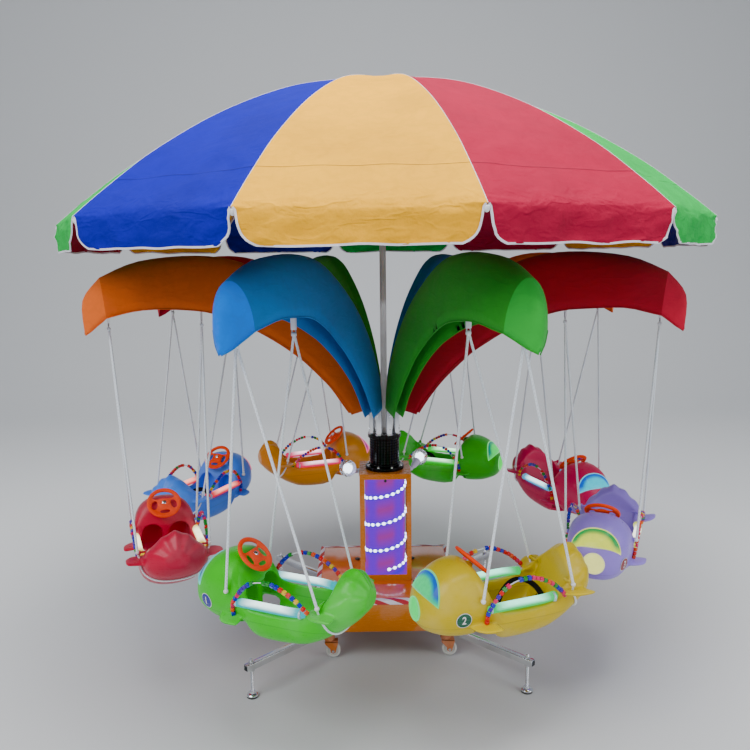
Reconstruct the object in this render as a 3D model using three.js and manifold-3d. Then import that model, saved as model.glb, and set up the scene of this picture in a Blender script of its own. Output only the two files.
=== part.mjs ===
// Eight-seat swing carousel under a striped umbrella. Millimetres, +Z up, origin on the ground under the
// pole. A seat's own frame has X towards its nose, Y outwards from the pole and Z up.
import * as THREE from "three";
import { mergeVertices } from "three/addons/utils/BufferGeometryUtils.js";
import Module from "manifold-3d";

const wasm = await Module();
wasm.setup();

const SEATS = 8;
const SEAT_PHASE = (-24.5 * Math.PI) / 180;
const PANELS = 12;
const PANEL_PHASE = (-19.2 * Math.PI) / 180;

const BASE_HALF = 355;
const BASE_BOTTOM = 163;
const DECK = 324;
const FOOT_AT = 616;
const BEAM_HALF = 15;
const BEAM_FROM = 322;
const CASTOR_AT = 285;
const CASTOR_TRAIL = 18;
const WHEEL_R = 36;
const WHEEL_Z = 41;

const COLUMN_HALF = 128.5;
const COLUMN_TOP = 880;
const COLUMN_WALL = 3.2;
const WINDOW_HALF = 104;
const WINDOW_EDGE = 30;
const LAMP = [186, 100, 904];
const LAMP_R = 43;

const FLANGE_R = 98;
const FLANGE_TOP = 908;
const DRUM_R = 76;
const DRUM_TOP = 1062;
const SOCKET_RING = 66;
const SOCKET_TOP = 1190;
const ARM_R = 11;

const POLE_R = 16;
const CANOPY_R = 1500;
const VALANCE = 124;
const CANOPY = [
  [1500, 2098], [1370, 2206], [1160, 2362], [860, 2536], [520, 2676], [200, 2750],
];
const APEX = 2748;
const VENT_R = 9;

// Each petal station: ridge radius and height, hem radius and height, half width, roundness of the ridge.
const PETAL = [
  [48, 1200, 180, 1172, 24, 0.35], [70, 1330, 250, 1277, 26, 0.35], [128, 1452, 335, 1377, 29, 0.38],
  [215, 1580, 435, 1472, 34, 0.42], [340, 1710, 550, 1556, 42, 0.48], [510, 1830, 680, 1632, 56, 0.56],
  [700, 1925, 820, 1692, 76, 0.68], [900, 1957, 960, 1720, 94, 0.8], [1150, 1935, 1150, 1728, 106, 0.95],
  [1316, 1867, 1300, 1696, 88, 1], [1390, 1770, 1350, 1650, 44, 1], [1389, 1626, 1385, 1620, 5, 1],
];
const ARM_BELOW = 17.7;
const PETAL_THICK = 2;
const TIP_THICK = 4;

const HOOK_OUT = 1290;
const HOOK_IN = 890;
const HOOK_Z = 1650;
const PIN_OUT = 1843.56;
const PIN_IN = 1924.05;
const ROPE_R = 5;
const CAR_AT = 1090;
const KNOB_Y = 152;
const KNOB_Z = 710;
const KNOB_R = 6;
const PIN_R = 4;
const KNOB_FRONT = 120;
const KNOB_REAR = -265;

// Each hull station: distance ahead of the hooks, half width, keel, top, share of height where it is widest.
const HULL = [
  [325, 34, 606, 680, 0.5], [298, 80, 556, 738, 0.5], [225, 114, 520, 800, 0.5],
  [140, 128, 512, 818, 0.5], [95, 132, 516, 780, 0.55], [55, 140, 526, 690, 0.75],
  [10, 145, 482, 668, 0.75], [-150, 147, 478, 668, 0.75], [-235, 142, 500, 706, 0.65],
  [-300, 126, 542, 790, 0.55], [-360, 100, 592, 800, 0.5], [-408, 38, 664, 738, 0.5],
];
const WHEEL_AT = [85, 805];
const WHEEL_TILT = (43 * Math.PI) / 180;
const STEER_R = 80;

const COLOURS = {
  green: 0x6ecd3c, yellow: 0xcdaa2d, purple: 0x9682be, crimson: 0xaa235a,
  amber: 0xcd963c, blue: 0x557dcd, red: 0xc81432,
};
const CAR_COLOURS = ["green", "yellow", "purple", "crimson", "green", "amber", "blue", "red"];
const PETAL_COLOURS = [0x0a78dc, 0x3c9e48, 0xb01a30, 0xcd6428];

const group = new THREE.Group();

// ---------- helpers ----------

function solid(geometry) {
  const g = (geometry.index ? geometry.toNonIndexed() : geometry.clone());
  g.deleteAttribute("normal");
  g.deleteAttribute("uv");
  const m = mergeVertices(g, 1e-3);
  const made = new wasm.Manifold(new wasm.Mesh({
    numProp: 3,
    vertProperties: new Float32Array(m.attributes.position.array),
    triVerts: new Uint32Array(m.index.array),
  }));
  return made;
}

function geometryOf(made) {
  const m = made.getMesh();
  const g = new THREE.BufferGeometry();
  g.setAttribute("position", new THREE.BufferAttribute(new Float32Array(m.vertProperties), 3));
  g.setIndex(new THREE.BufferAttribute(new Uint32Array(m.triVerts), 1));
  const flat = g.toNonIndexed();
  flat.computeVertexNormals();
  return flat;
}

function add(name, made, colour, roughness = 0.5, metalness = 0, turn = 0) {
  const geometry = made.isBufferGeometry ? made : geometryOf(made);
  const mesh = new THREE.Mesh(
    geometry, new THREE.MeshStandardMaterial({ color: colour, roughness, metalness }));
  mesh.name = name;
  mesh.rotation.z = turn;
  group.add(mesh);
  return mesh;
}

const union = (list) => list.reduce((a, b) => a.add(b));

function box(x0, x1, y0, y1, z0, z1) {
  const g = new THREE.BoxGeometry(x1 - x0, y1 - y0, z1 - z0);
  g.translate((x0 + x1) / 2, (y0 + y1) / 2, (z0 + z1) / 2);
  return solid(g);
}

function rod(a, b, r, sides = 8, r2 = r) {
  const p = new THREE.Vector3(...a), q = new THREE.Vector3(...b);
  const d = q.clone().sub(p);
  const g = new THREE.CylinderGeometry(r2, r, d.length(), sides, 1);
  g.translate(0, d.length() / 2, 0);
  g.applyQuaternion(
    new THREE.Quaternion().setFromUnitVectors(new THREE.Vector3(0, 1, 0), d.normalize()));
  g.translate(p.x, p.y, p.z);
  return solid(g);
}

function ball(c, r, w = 8, h = 6) {
  const g = new THREE.SphereGeometry(r, w, h);
  g.translate(...c);
  return solid(g);
}

// A bar of a round or square section along a smooth curve.
function bar(points, r, sides, steps) {
  const path = new THREE.CatmullRomCurve3(points.map((p) => new THREE.Vector3(...p)));
  const shape = new THREE.Shape();
  for (let i = 0; i < sides; i++) {
    const a = (i * 2 * Math.PI) / sides;
    if (i) shape.lineTo(r * Math.cos(a), r * Math.sin(a));
    else shape.moveTo(r, 0);
  }
  shape.closePath();
  return solid(new THREE.ExtrudeGeometry(
    shape, { steps, extrudePath: path, bevelEnabled: false, curveSegments: 1 }));
}

// Triangles over one flat ring, all turned the way the ring runs.
function cap(ring) {
  const p = ring.map((q) => new THREE.Vector3(...q));
  const normal = new THREE.Vector3();
  p.forEach((q, i) => normal.add(q.clone().cross(p[(i + 1) % p.length])));
  const u = p[1].clone().sub(p[0]).normalize(), w = normal.normalize().cross(u);
  const flat = p.map((q) => new THREE.Vector2(q.dot(u), q.dot(w)));
  return THREE.ShapeUtils.triangulateShape(flat, []).map(([a, b, c]) => {
    const ab = flat[b].clone().sub(flat[a]), ac = flat[c].clone().sub(flat[a]);
    return ab.cross(ac) > 0 ? [a, b, c] : [a, c, b];
  });
}

// A closed body through rings of equal length, with flat ends. A column listed in other has its squares
// cut along their other diagonal.
function loft(rings, other = []) {
  const n = rings[0].length, end = (rings.length - 1) * n, v = [], f = [];
  rings.forEach((ring) => ring.forEach((p) => v.push(...p)));
  for (let k = 0; k + 1 < rings.length; k++)
    for (let i = 0; i < n; i++) {
      const j = (i + 1) % n, a = k * n + i, b = k * n + j, c = a + n, d = b + n;
      if (other.includes(i)) f.push(a, b, c, b, d, c);
      else f.push(a, b, d, a, d, c);
    }
  for (const [a, b, c] of cap(rings[0])) f.push(a, c, b);
  for (const [a, b, c] of cap(rings.at(-1))) f.push(end + a, end + b, end + c);
  const g = new THREE.BufferGeometry();
  g.setAttribute("position", new THREE.BufferAttribute(new Float32Array(v), 3));
  const volume = signedVolume(v, f);
  if (volume < 0) for (let i = 0; i < f.length; i += 3) [f[i + 1], f[i + 2]] = [f[i + 2], f[i + 1]];
  g.setIndex(f);
  return solid(g);
}

// A bar along a curve that stays in the plane X = 0, one ring to a point.
function planarBar(points, r, sides) {
  return loft(points.map(([, y, z], i) => {
    const a = points[Math.max(i - 1, 0)], b = points[Math.min(i + 1, points.length - 1)];
    const d = Math.hypot(b[1] - a[1], b[2] - a[2]), ty = (b[1] - a[1]) / d, tz = (b[2] - a[2]) / d;
    return Array.from({ length: sides }, (_, k) => {
      const w = (k * 2 * Math.PI) / sides, c = r * Math.cos(w), s = r * Math.sin(w);
      return [c, y - tz * s, z + ty * s];
    });
  }));
}

function signedVolume(v, f) {
  let sum = 0;
  const p = (i) => new THREE.Vector3(v[3 * i], v[3 * i + 1], v[3 * i + 2]);
  for (let i = 0; i < f.length; i += 3) sum += p(f[i]).dot(p(f[i + 1]).cross(p(f[i + 2])));
  return sum / 6;
}

// ---------- standing parts ----------

function base() {
  const shell = box(-BASE_HALF, BASE_HALF, -BASE_HALF, BASE_HALF, BASE_BOTTOM, DECK);
  return shell.subtract(box(-BASE_HALF + 12, BASE_HALF - 12, -BASE_HALF + 12, BASE_HALF - 12,
    BASE_BOTTOM - 1, DECK - 14)).add(union([-1, 1].flatMap((sx) => [-1, 1].flatMap((sy) => [
    box(sx * 300 - 56, sx * 300 + 56, sy * 300 - 56, sy * 300 + 56, BASE_BOTTOM, BASE_BOTTOM + 8),
    rod([sx * 148, sy * 150, DECK - 1], [sx * 148, sy * 150, DECK + 9], 13, 8)]))));
}

function outrigger(sx, sy) {
  const c = (a, z) => [sx * a, sy * a, z];
  const z = BASE_BOTTOM - 0.3 - BEAM_HALF;
  const g = new THREE.BoxGeometry(Math.SQRT2 * (FOOT_AT + 22 - BEAM_FROM), 2 * BEAM_HALF, 2 * BEAM_HALF);
  g.rotateZ((sx * sy * Math.PI) / 4);
  g.translate(sx * (FOOT_AT + 22 + BEAM_FROM) / 2, sy * (FOOT_AT + 22 + BEAM_FROM) / 2, z);
  return union([solid(g), rod(c(FOOT_AT, 8), c(FOOT_AT, z + 40), 7, 6),
    rod(c(FOOT_AT, 0), c(FOOT_AT, 12), 26, 12), rod(c(FOOT_AT, 12), c(FOOT_AT, 24), 26, 12, 12),
    rod(c(FOOT_AT, z - BEAM_HALF - 9), c(FOOT_AT, z - BEAM_HALF), 13, 6)]);
}

function castorFork() {
  const top = BASE_BOTTOM - 0.3;
  const t = CASTOR_TRAIL;
  return union([
    rod([0, 0, top - 8], [0, 0, top], 34, 8), rod([0, 0, 88], [0, 0, top - 8], 22, 8),
    box(-22, t + 24, -22, 22, 84, 92), box(t - 14, t + 16, -22, -17, WHEEL_Z - 12, 86),
    box(t - 14, t + 16, 17, 22, WHEEL_Z - 12, 86), rod([t, -24, WHEEL_Z], [t, 24, WHEEL_Z], 4.2, 12),
  ]);
}

function castorWheel() {
  const points = [[4.7, -12], [WHEEL_R, -12], [WHEEL_R, 12], [4.7, 12], [4.7, -12]];
  const g = new THREE.LatheGeometry(points.map(([r, y]) => new THREE.Vector2(r, y)), 14);
  g.translate(CASTOR_TRAIL, 0, WHEEL_Z);
  return solid(g);
}

function columnFrame() {
  const h = COLUMN_HALF, i = h - COLUMN_WALL, w = WINDOW_HALF;
  const z0 = DECK + 0.3 + WINDOW_EDGE, z1 = COLUMN_TOP - WINDOW_EDGE;
  const body = box(-h, h, -h, h, DECK + 0.3, COLUMN_TOP)
    .subtract(box(-i, i, -i, i, DECK, COLUMN_TOP - 5))
    .subtract(box(-w, w, -h - 5, h + 5, z0, z1))
    .subtract(box(-h - 5, h + 5, -w, w, z0, z1));
  return body.add(rod([0, 0, COLUMN_TOP - 4], [0, 0, FLANGE_TOP - 12], FLANGE_R, 16))
    .add(rod([0, 0, FLANGE_TOP - 12], [0, 0, FLANGE_TOP], FLANGE_R - 22, 16));
}

function lightColumn() {
  const h = COLUMN_HALF - COLUMN_WALL - 0.3;
  return box(-h, h, -h, h, DECK + 0.3, COLUMN_TOP - 5.3)
    .subtract(box(-h + 4, h - 4, -h + 4, h - 4, DECK + 6, COLUMN_TOP + 5))
    .add(rod([0, 0, DECK + 4], [0, 0, COLUMN_TOP - 20], 98, 20));
}

function lamp(sign) {
  const [x, y, z] = LAMP, side = COLUMN_HALF + 0.3;
  return union([box(side, side + 4, -2, 38, z - 60, z - 28), box(side, side + 17, 4, 32, z - 48, z - 28),
    rod([side + 14, 22, z - 36], [x - 14, y - 22, z - 6], 10, 10, 20), ball([x, y, z], LAMP_R, 10, 8)])
    .rotate([0, 0, sign > 0 ? 0 : 180]);
}

// ---------- turning parts ----------

function armCentre() {
  const list = [[0, SOCKET_RING, DRUM_TOP - 20], [0, SOCKET_RING, SOCKET_TOP + 8]];
  const tip = PETAL[8].map((v, i) => v + (PETAL[9][i] - v) * 0.88);
  for (const [r, z, er, ez] of [...PETAL.slice(1, 9), tip]) {
    const d = Math.hypot(er - r, ez - z);
    list.push([0, r + ((er - r) * ARM_BELOW) / d, z + ((ez - z) * ARM_BELOW) / d]);
  }
  return list;
}

function rotorFrame() {
  const drum = union([rod([0, 0, FLANGE_TOP + 0.5], [0, 0, DRUM_TOP - 22], DRUM_R, 16),
    rod([0, 0, DRUM_TOP - 22], [0, 0, DRUM_TOP], DRUM_R + 8, 16)]);
  const arm = union([planarBar(armCentre(), ARM_R, 6),
    rod([0, SOCKET_RING, DRUM_TOP - 2], [0, SOCKET_RING, SOCKET_TOP], 15, 6),
    ...[[HOOK_OUT, PIN_OUT], [HOOK_IN, PIN_IN]].flatMap(([r, z]) => [
      box(-16, 16, r - 3, r + 3, z, z + 12), rod([-16, r, z], [16, r, z], PIN_R, 8)])]);
  let all = drum;
  for (let k = 0; k < SEATS; k++)
    all = all.add(arm.rotate([0, 0, ((SEAT_PHASE + Math.PI) * 180) / Math.PI + 45 * k]));
  return all;
}

function petal() {
  const rings = PETAL.map(([r, z, er, ez, s, round], k) => {
    const fold = 0.25 + 0.25 * Math.min(Math.max((round - 0.45) / 0.5, 0), 1), across = [-1, -fold, 0, fold, 1];
    const d = Math.hypot(er - r, ez - z), thick = k < PETAL.length - 2 ? PETAL_THICK : TIP_THICK;
    const n = [(er - r) / d, (ez - z) / d];
    const point = (v, inset) => {
      const a = (v * Math.PI) / 2, depth = inset + (d - inset) * (1 - Math.cos(a));
      const half = Math.max(s - inset, 1) * Math.abs(Math.sin(a)) ** round;
      return [Math.sign(v) * half, r + n[0] * depth, z + n[1] * depth];
    };
    return [...across.map((v) => point(v, 0)), ...across.toReversed().map((v) => point(v, thick))];
  });
  return loft(rings, [2, 3, 7, 8]);
}

function ropes(radius, pin, side) {
  const y = CAR_AT + side * KNOB_Y;
  const hook = [0, radius, HOOK_Z];
  const down = (x) => {
    const a = new THREE.Vector3(...hook), b = new THREE.Vector3(x, y, KNOB_Z);
    const lean = Math.atan(Math.abs(x) / (HOOK_Z - KNOB_Z));
    const clear = (KNOB_R + (side > 0 ? 0.3 : 2.2) + ROPE_R * Math.sin(lean)) / Math.cos(lean);
    const end = b.clone().add(a.clone().sub(b).setLength(clear));
    return rod(end.toArray(), hook, ROPE_R, 4);
  };
  return union([box(-12, 12, radius - 2, radius + 2, HOOK_Z, pin - PIN_R - 0.3),
    box(-11, 11, radius - 9, radius + 9, HOOK_Z - 13, HOOK_Z + 13), down(KNOB_FRONT), down(KNOB_REAR)]);
}

// ---------- cars ----------

function hullRing([x, w, z0, z1, share], sides = 10) {
  const zc = z0 + (z1 - z0) * share;
  return Array.from({ length: sides }, (_, i) => {
    const a = (i * 2 * Math.PI) / sides;
    const c = Math.cos(a), s = Math.sin(a);
    const pow = (t) => Math.sign(t) * Math.abs(t) ** 0.82;
    return [x, CAR_AT + w * pow(c), zc + (s > 0 ? z1 - zc : zc - z0) * pow(s)];
  });
}

function winglet(x0, x1, reach, z, rise, sy) {
  const inner = CAR_AT + sy * 100, outer = CAR_AT + sy * reach, t = 6;
  const ring = (y, a, b, up) => [[a, y, z + up - t], [b, y, z + up - t], [b, y, z + up + t], [a, y, z + up + t]];
  return loft([ring(inner, x0, x1, 0), ring((inner + 2 * outer) / 3, x0 - 4, x1 - 8, rise / 2),
    ring(outer, x0 - 12, x1 - 50, rise)]);
}

function car() {
  const y = (v) => CAR_AT + v;
  let body = loft(HULL.map((s) => hullRing(s)));
  const cavity = loft([[60, 100, 545], [30, 118, 530], [-150, 120, 528], [-215, 112, 545], [-232, 90, 600]]
    .map(([x, w, z]) => [[x, y(-w), z + 30], [x, y(-w + 30), z], [x, y(w - 30), z], [x, y(w), z + 30],
      [x - (x < -200 ? 60 : 0), y(w), 900], [x - (x < -200 ? 60 : 0), y(-w), 900]]));
  body = body.subtract(cavity);
  for (const sy of [-1, 1]) {
    body = body.subtract(box(45, 120, y(sy * 48 - 40), y(sy * 48 + 40), 548, 660))
      .subtract(rod([28, y(sy * 55), 440], [28, y(sy * 55), 560], 38, 7));
    body = union([body,
      rod([92, y(sy * 137), 668], [-200, y(sy * 137), 668], 17, 6),
      bar([[98, y(sy * 140), 612], [88, y(sy * 150), 672], [20, y(sy * 156), 752], [-70, y(sy * 158), 770],
        [-165, y(sy * 156), 728], [-228, y(sy * 148), 668], [-240, y(sy * 138), 640]], 6, 4, 6),
      ...[KNOB_FRONT, KNOB_REAR].flatMap((x) => [
        rod([x, y(sy * 90), KNOB_Z], [x, y(sy * KNOB_Y), KNOB_Z], 4, 4),
        rod([x - 9, y(sy * KNOB_Y), KNOB_Z], [x + 9, y(sy * KNOB_Y), KNOB_Z], KNOB_R, 8)]),
      winglet(60, 165, 196, 606, 0, sy), winglet(-330, -215, 204, 676, 12, sy)]);
  }
  const [wx, wz] = WHEEL_AT, n = [-Math.sin(WHEEL_TILT), Math.cos(WHEEL_TILT)];
  return body.add(rod([wx - 60 * n[0], y(0), wz - 60 * n[1]], [wx - 8.4 * n[0], y(0), wz - 8.4 * n[1]], 15, 8));
}

function steeringWheel() {
  const ring = new THREE.LatheGeometry(
    [[64, 0], [72, -7], [80, 0], [72, 7], [64, 0]].map(([r, h]) => new THREE.Vector2(r, h)), 12);
  const parts = [solid(ring), rod([0, -8, 0], [0, 8, 0], 22, 6)];
  for (let k = 0; k < 3; k++) {
    const a = (k * 2 * Math.PI) / 3 + Math.PI / 2;
    const g = new THREE.BoxGeometry(56, 7, 17);
    g.translate(42, 0, 0);
    g.rotateY(a);
    parts.push(solid(g));
  }
  const g = geometryOf(union(parts));
  g.rotateX(Math.PI / 2);
  g.rotateY(-WHEEL_TILT);
  g.translate(WHEEL_AT[0], CAR_AT, WHEEL_AT[1]);
  return g;
}

// ---------- umbrella ----------

const corner = (k, r, z) => {
  const a = PANEL_PHASE + (k * 2 * Math.PI) / PANELS;
  return [r * Math.sin(a), -r * Math.cos(a), z];
};

function canopy() {
  const levels = [...CANOPY, [24, APEX]];
  const ring = (r, z) => Array.from({ length: PANELS }, (_, k) => corner(k, r, z));
  const inner = [...levels.map(([r, z]) => ring(r - 1, z - 3)).reverse(), ring(CANOPY_R + 30, CANOPY[0][1] - 40)];
  const vent = rod([0, 0, APEX - 20], [0, 0, APEX + 20], VENT_R, 8);
  let shell = loft(levels.map(([r, z]) => ring(r, z))).subtract(loft(inner)).subtract(vent);
  const flat = CANOPY_R * Math.cos(Math.PI / PANELS);
  const half = CANOPY_R * Math.sin(Math.PI / PANELS);
  const z = CANOPY[0][1];
  for (let k = 0; k < PANELS; k++) {
    const g = new THREE.Shape([[-half + 8, 6], [-half + 14, -50], [-half + 34, -98], [-half + 72, -VALANCE],
      [half - 72, -VALANCE], [half - 34, -98], [half - 14, -50], [half - 8, 6]]
      .map(([a, b]) => new THREE.Vector2(a, b)));
    const e = new THREE.ExtrudeGeometry(g, { depth: 2.4, bevelEnabled: false });
    e.rotateX(Math.PI / 2);
    e.translate(0, -flat + 4, z - 2);
    const deg = ((PANEL_PHASE + ((k + 0.5) * 2 * Math.PI) / PANELS) * 180) / Math.PI;
    shell = shell.add(solid(e).rotate([0, 0, deg]));
  }
  return shell;
}

function umbrellaFrame() {
  const parts = [rod([0, 0, DRUM_TOP + 0.3], [0, 0, APEX - 12], POLE_R, 12),
    rod([0, 0, APEX - 14], [0, 0, APEX + 3], VENT_R - 1.5, 8), rod([0, 0, APEX + 0.4], [0, 0, APEX + 14], 22, 12, 12),
    rod([0, 0, 2676], [0, 0, 2726], 34, 12), rod([0, 0, 2300], [0, 0, 2346], 34, 12)];
  const rim = CANOPY[0][1];
  const rib = union([
    planarBar([[0, 30, 2716], ...[5, 4, 3, 2, 1].map((i) => [0, CANOPY[i][0] - 6, CANOPY[i][1] - 16]),
      [0, CANOPY_R - 8, rim - 14]], 5, 4),
    planarBar([[0, 30, 2323], [0, 840, 2530]], 4, 4), ball([0, CANOPY_R - 8, rim - 17], 9, 5, 4)]);
  for (let k = 0; k < PANELS; k++)
    parts.push(rib.rotate([0, 0, (PANEL_PHASE * 180) / Math.PI + 180 + (k * 360) / PANELS]));
  return union(parts);
}

// ---------- assembly ----------

add("base_box", base(), 0xc0741f, 0.4, 0.2);
let n = 0;
for (const sy of [-1, 1])
  for (const sx of [-1, 1]) {
    n += 1;
    add(`outrigger_${n}`, outrigger(sx, sy), 0xc8ccd0, 0.2, 1);
    const place = (geometry, name, colour, metal) => {
      const mesh = add(name, geometry, colour, 0.5, metal);
      mesh.position.set(sx * CASTOR_AT, sy * CASTOR_AT, 0);
      return mesh;
    };
    place(castorFork(), `castor_fork_${n}`, 0xc0741f, 0.3);
    place(castorWheel(), `castor_wheel_${n}`, 0xe8e8e6, 0);
  }
add("column_frame", columnFrame(), 0xc87a2a, 0.45, 0.2);
add("light_column", lightColumn(), 0x6a3cf0, 0.2);
add("ball_lamp_1", lamp(-1), 0xe6eef8, 0.1);
add("ball_lamp_2", lamp(1), 0xe6eef8, 0.1);
add("rotor_frame", rotorFrame(), 0x1a1a1c, 0.3, 0.8);
add("umbrella_frame", umbrellaFrame(), 0xe4e6e8, 0.35, 0.6);
add("umbrella_canopy", canopy(), 0xe8c66e, 0.9);

const shapes = {
  petal: geometryOf(petal()), outer: geometryOf(ropes(HOOK_OUT, PIN_OUT, 1)),
  inner: geometryOf(ropes(HOOK_IN, PIN_IN, -1)), car: geometryOf(car()), wheel: steeringWheel(),
};
for (let k = 0; k < SEATS; k++) {
  const turn = SEAT_PHASE + Math.PI + (k * 2 * Math.PI) / SEATS;
  const i = k + 1;
  add(`petal_${i}`, shapes.petal, PETAL_COLOURS[k % 4], 0.9, 0, turn);
  add(`outer_ropes_${i}`, shapes.outer, 0xe6eaee, 0.8, 0, turn);
  add(`inner_ropes_${i}`, shapes.inner, 0xe6eaee, 0.8, 0, turn);
  add(`car_${i}`, shapes.car, COLOURS[CAR_COLOURS[k]], 0.35, 0, turn);
  add(`steering_wheel_${i}`, shapes.wheel, 0xfa5f1e, 0.4, 0, turn);
}

export default group;
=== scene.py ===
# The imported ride, in metres, on the ground under its pole. Each section below dresses one of its pieces.
import random
from math import atan, atan2, copysign, cos, hypot, pi, radians, sin, sqrt

import bmesh
import bpy
from mathutils import Matrix, Vector, noise
from mathutils.bvhtree import BVHTree


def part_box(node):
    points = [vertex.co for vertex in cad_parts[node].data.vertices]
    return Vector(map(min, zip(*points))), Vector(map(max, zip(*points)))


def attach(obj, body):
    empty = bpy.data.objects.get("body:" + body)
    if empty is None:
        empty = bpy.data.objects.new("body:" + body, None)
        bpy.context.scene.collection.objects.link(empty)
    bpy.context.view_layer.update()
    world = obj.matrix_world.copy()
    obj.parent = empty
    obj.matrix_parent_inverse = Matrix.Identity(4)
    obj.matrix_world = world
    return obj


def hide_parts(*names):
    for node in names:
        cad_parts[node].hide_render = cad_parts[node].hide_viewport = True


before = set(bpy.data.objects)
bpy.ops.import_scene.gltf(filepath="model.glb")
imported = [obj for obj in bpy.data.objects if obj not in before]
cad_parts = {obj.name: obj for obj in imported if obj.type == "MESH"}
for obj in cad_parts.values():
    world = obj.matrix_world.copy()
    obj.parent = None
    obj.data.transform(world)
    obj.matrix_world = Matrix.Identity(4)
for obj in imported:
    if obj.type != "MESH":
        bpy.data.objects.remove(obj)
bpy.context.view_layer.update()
scene = bpy.context.scene

# ---------- Stage ----------
# The camera stands in front of the ride at eye height. A pale floor sweeps up behind the ride,
# lit by one broad soft light from the front left, a weaker one from the right and a pale sky.
yaw, pitch, roll = (radians(a) for a in (0.68, 8.704, -0.651))
ahead = Vector((sin(yaw) * cos(pitch), cos(yaw) * cos(pitch), -sin(pitch)))
right = Vector((cos(yaw), -sin(yaw), 0))
up = right.cross(ahead)
right, up = right * cos(roll) + up * sin(roll), up * cos(roll) - right * sin(roll)
camera = bpy.data.objects.new("camera", bpy.data.cameras.new("camera"))
camera.data.lens = 36.75
camera_turn = Matrix((right, up, -ahead)).transposed().to_4x4()
camera.matrix_world = Matrix.Translation((-0.089, -3.799, 1.938)) @ camera_turn
scene.collection.objects.link(camera)
scene.camera = camera


def strung(rings, closed=True, ends=True):
    """A first row of points extruded through the rows after it. Its UV map is in metres."""
    bm = bmesh.new()
    n = len(rings[0])
    if closed:
        row = list(bmesh.ops.create_circle(bm, segments=n, radius=1)["verts"])
    else:
        row = [bm.verts.new(p) for p in rings[0]]
        for pair in zip(row, row[1:]):
            bm.edges.new(pair)
    where = {}

    def seat_row(k, ring):
        for i, (v, p) in enumerate(zip(row, ring)):
            v.co = p
            where[v] = (k, i)

    def edges_of():
        return [bm.edges.get(pair) for pair in zip(row, row[1:] + row[:1] * closed)]

    seat_row(0, rings[0])
    caps = [edges_of()]
    for k, ring in enumerate(rings[1:], 1):
        fresh = {g for g in bmesh.ops.extrude_edge_only(bm, edges=edges_of())["geom"]
            if isinstance(g, bmesh.types.BMVert)}
        row = [next(e.other_vert(v) for e in v.link_edges if e.other_vert(v) in fresh) for v in row]
        seat_row(k, ring)
    caps.append(edges_of())
    along, across = [0.0], [0.0]
    middle = [sum((Vector(p) for p in ring), Vector()) / n for ring in rings]
    for a, b in zip(middle, middle[1:]):
        along.append(along[-1] + (b - a).length)
    widest = max(rings, key=lambda r: (Vector(r[0]) - Vector(r[n // 2])).length)
    for a, b in zip(widest, widest[1:] + widest[:1]):
        across.append(across[-1] + (Vector(b) - Vector(a)).length)
    uv = bm.loops.layers.uv.verify()
    for face in bm.faces:
        wraps = closed and {0, n - 1} <= {where[c.vert][1] for c in face.loops}
        for corner in face.loops:
            k, i = where[corner.vert]
            corner[uv].uv = (across[n if wraps and i == 0 else i], along[k])
    if closed and ends:
        for edges in caps:
            bmesh.ops.contextual_create(bm, geom=edges)
    return bm


def shown(name, bm, finishes, sharp=35):
    """A bmesh as an object at the origin, smooth but for its sharp edges."""
    mesh = bpy.data.meshes.new(name)
    bm.to_mesh(mesh)
    bm.free()
    for finish in finishes:
        mesh.materials.append(finish)
    mesh.shade_smooth()
    mesh.set_sharp_from_angle(angle=radians(sharp))
    made = bpy.data.objects.new(name, mesh)
    scene.collection.objects.link(made)
    return made


def put(tree, kind, settings=None, **sockets):
    """Adds a shader node. A socket is named with _ for a space, or i and its number."""
    made = tree.nodes.new("ShaderNode" + kind)
    for key, value in (settings or {}).items():
        setattr(made, key, value)
    for key, value in sockets.items():
        number = key[1:] if key[0] == "i" else ""
        socket = made.inputs[int(number) if number.isdigit() else key.replace("_", " ")]
        if isinstance(value, bpy.types.NodeSocket):
            tree.links.new(value, socket)
        else:
            socket.default_value = value
    return made


def material(name):
    made = bpy.data.materials.new(name)
    made.use_nodes = True
    made.node_tree.nodes.clear()
    return made, made.node_tree


def close_material(tree, **sockets):
    """Ends a material in a Principled shader."""
    shader = put(tree, "BsdfPrincipled", **sockets)
    put(tree, "OutputMaterial", Surface=shader.outputs[0])


floor_finish, tree = material("floor")
close_material(tree, Base_Color=(0.62, 0.63, 0.64, 1), Roughness=0.9)
rise = [(-14, 0), (5.5, 0)] + [(5.5 + 3 * sin(a * pi / 16), 3 - 3 * cos(a * pi / 16))
    for a in range(1, 9)] + [(8.5, 12)]
floor = shown("floor", strung([[(x, y, z) for x in (-16, 16)] for y, z in rise], closed=False),
    [floor_finish], 80)
world = bpy.data.worlds.new("sky")
world.use_nodes = True
world.node_tree.nodes["Background"].inputs["Color"].default_value = (0.80, 0.86, 0.95, 1)
world.node_tree.nodes["Background"].inputs["Strength"].default_value = 0.42
scene.world = world
for name, place, aim, size, watts in (("key_light", (-4.5, -5.5, 6.5), (0, 0, 1.2), 5, 430),
        ("fill_light", (6, -4, 3.5), (0, 0, 1), 4, 130),
        ("top_light", (0.5, -1.0, 7.5), (0, 0, 0), 5, 640)):
    lamp = bpy.data.lights.new(name, "AREA")
    lamp.energy, lamp.size = watts, size
    holder = bpy.data.objects.new(name, lamp)
    facing = (Vector(aim) - Vector(place)).to_track_quat("-Z", "Y").to_matrix().to_4x4()
    holder.matrix_world = Matrix.Translation(place) @ facing
    scene.collection.objects.link(holder)

# ---------- Base box ----------
# A welded sheet-steel box in gloss orange carries the drive. It is open below, its corners are rounded,
# black caps cover the deck bolts, and striped tape is folded over the top edges.


def tint(red, green, blue):
    """A screen colour, 0 to 255, as a linear shader colour."""
    return [((c / 255 + 0.055) / 1.055) ** 2.4 if c > 10 else c / 3295 for c in (red, green, blue)] + [1]


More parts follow.
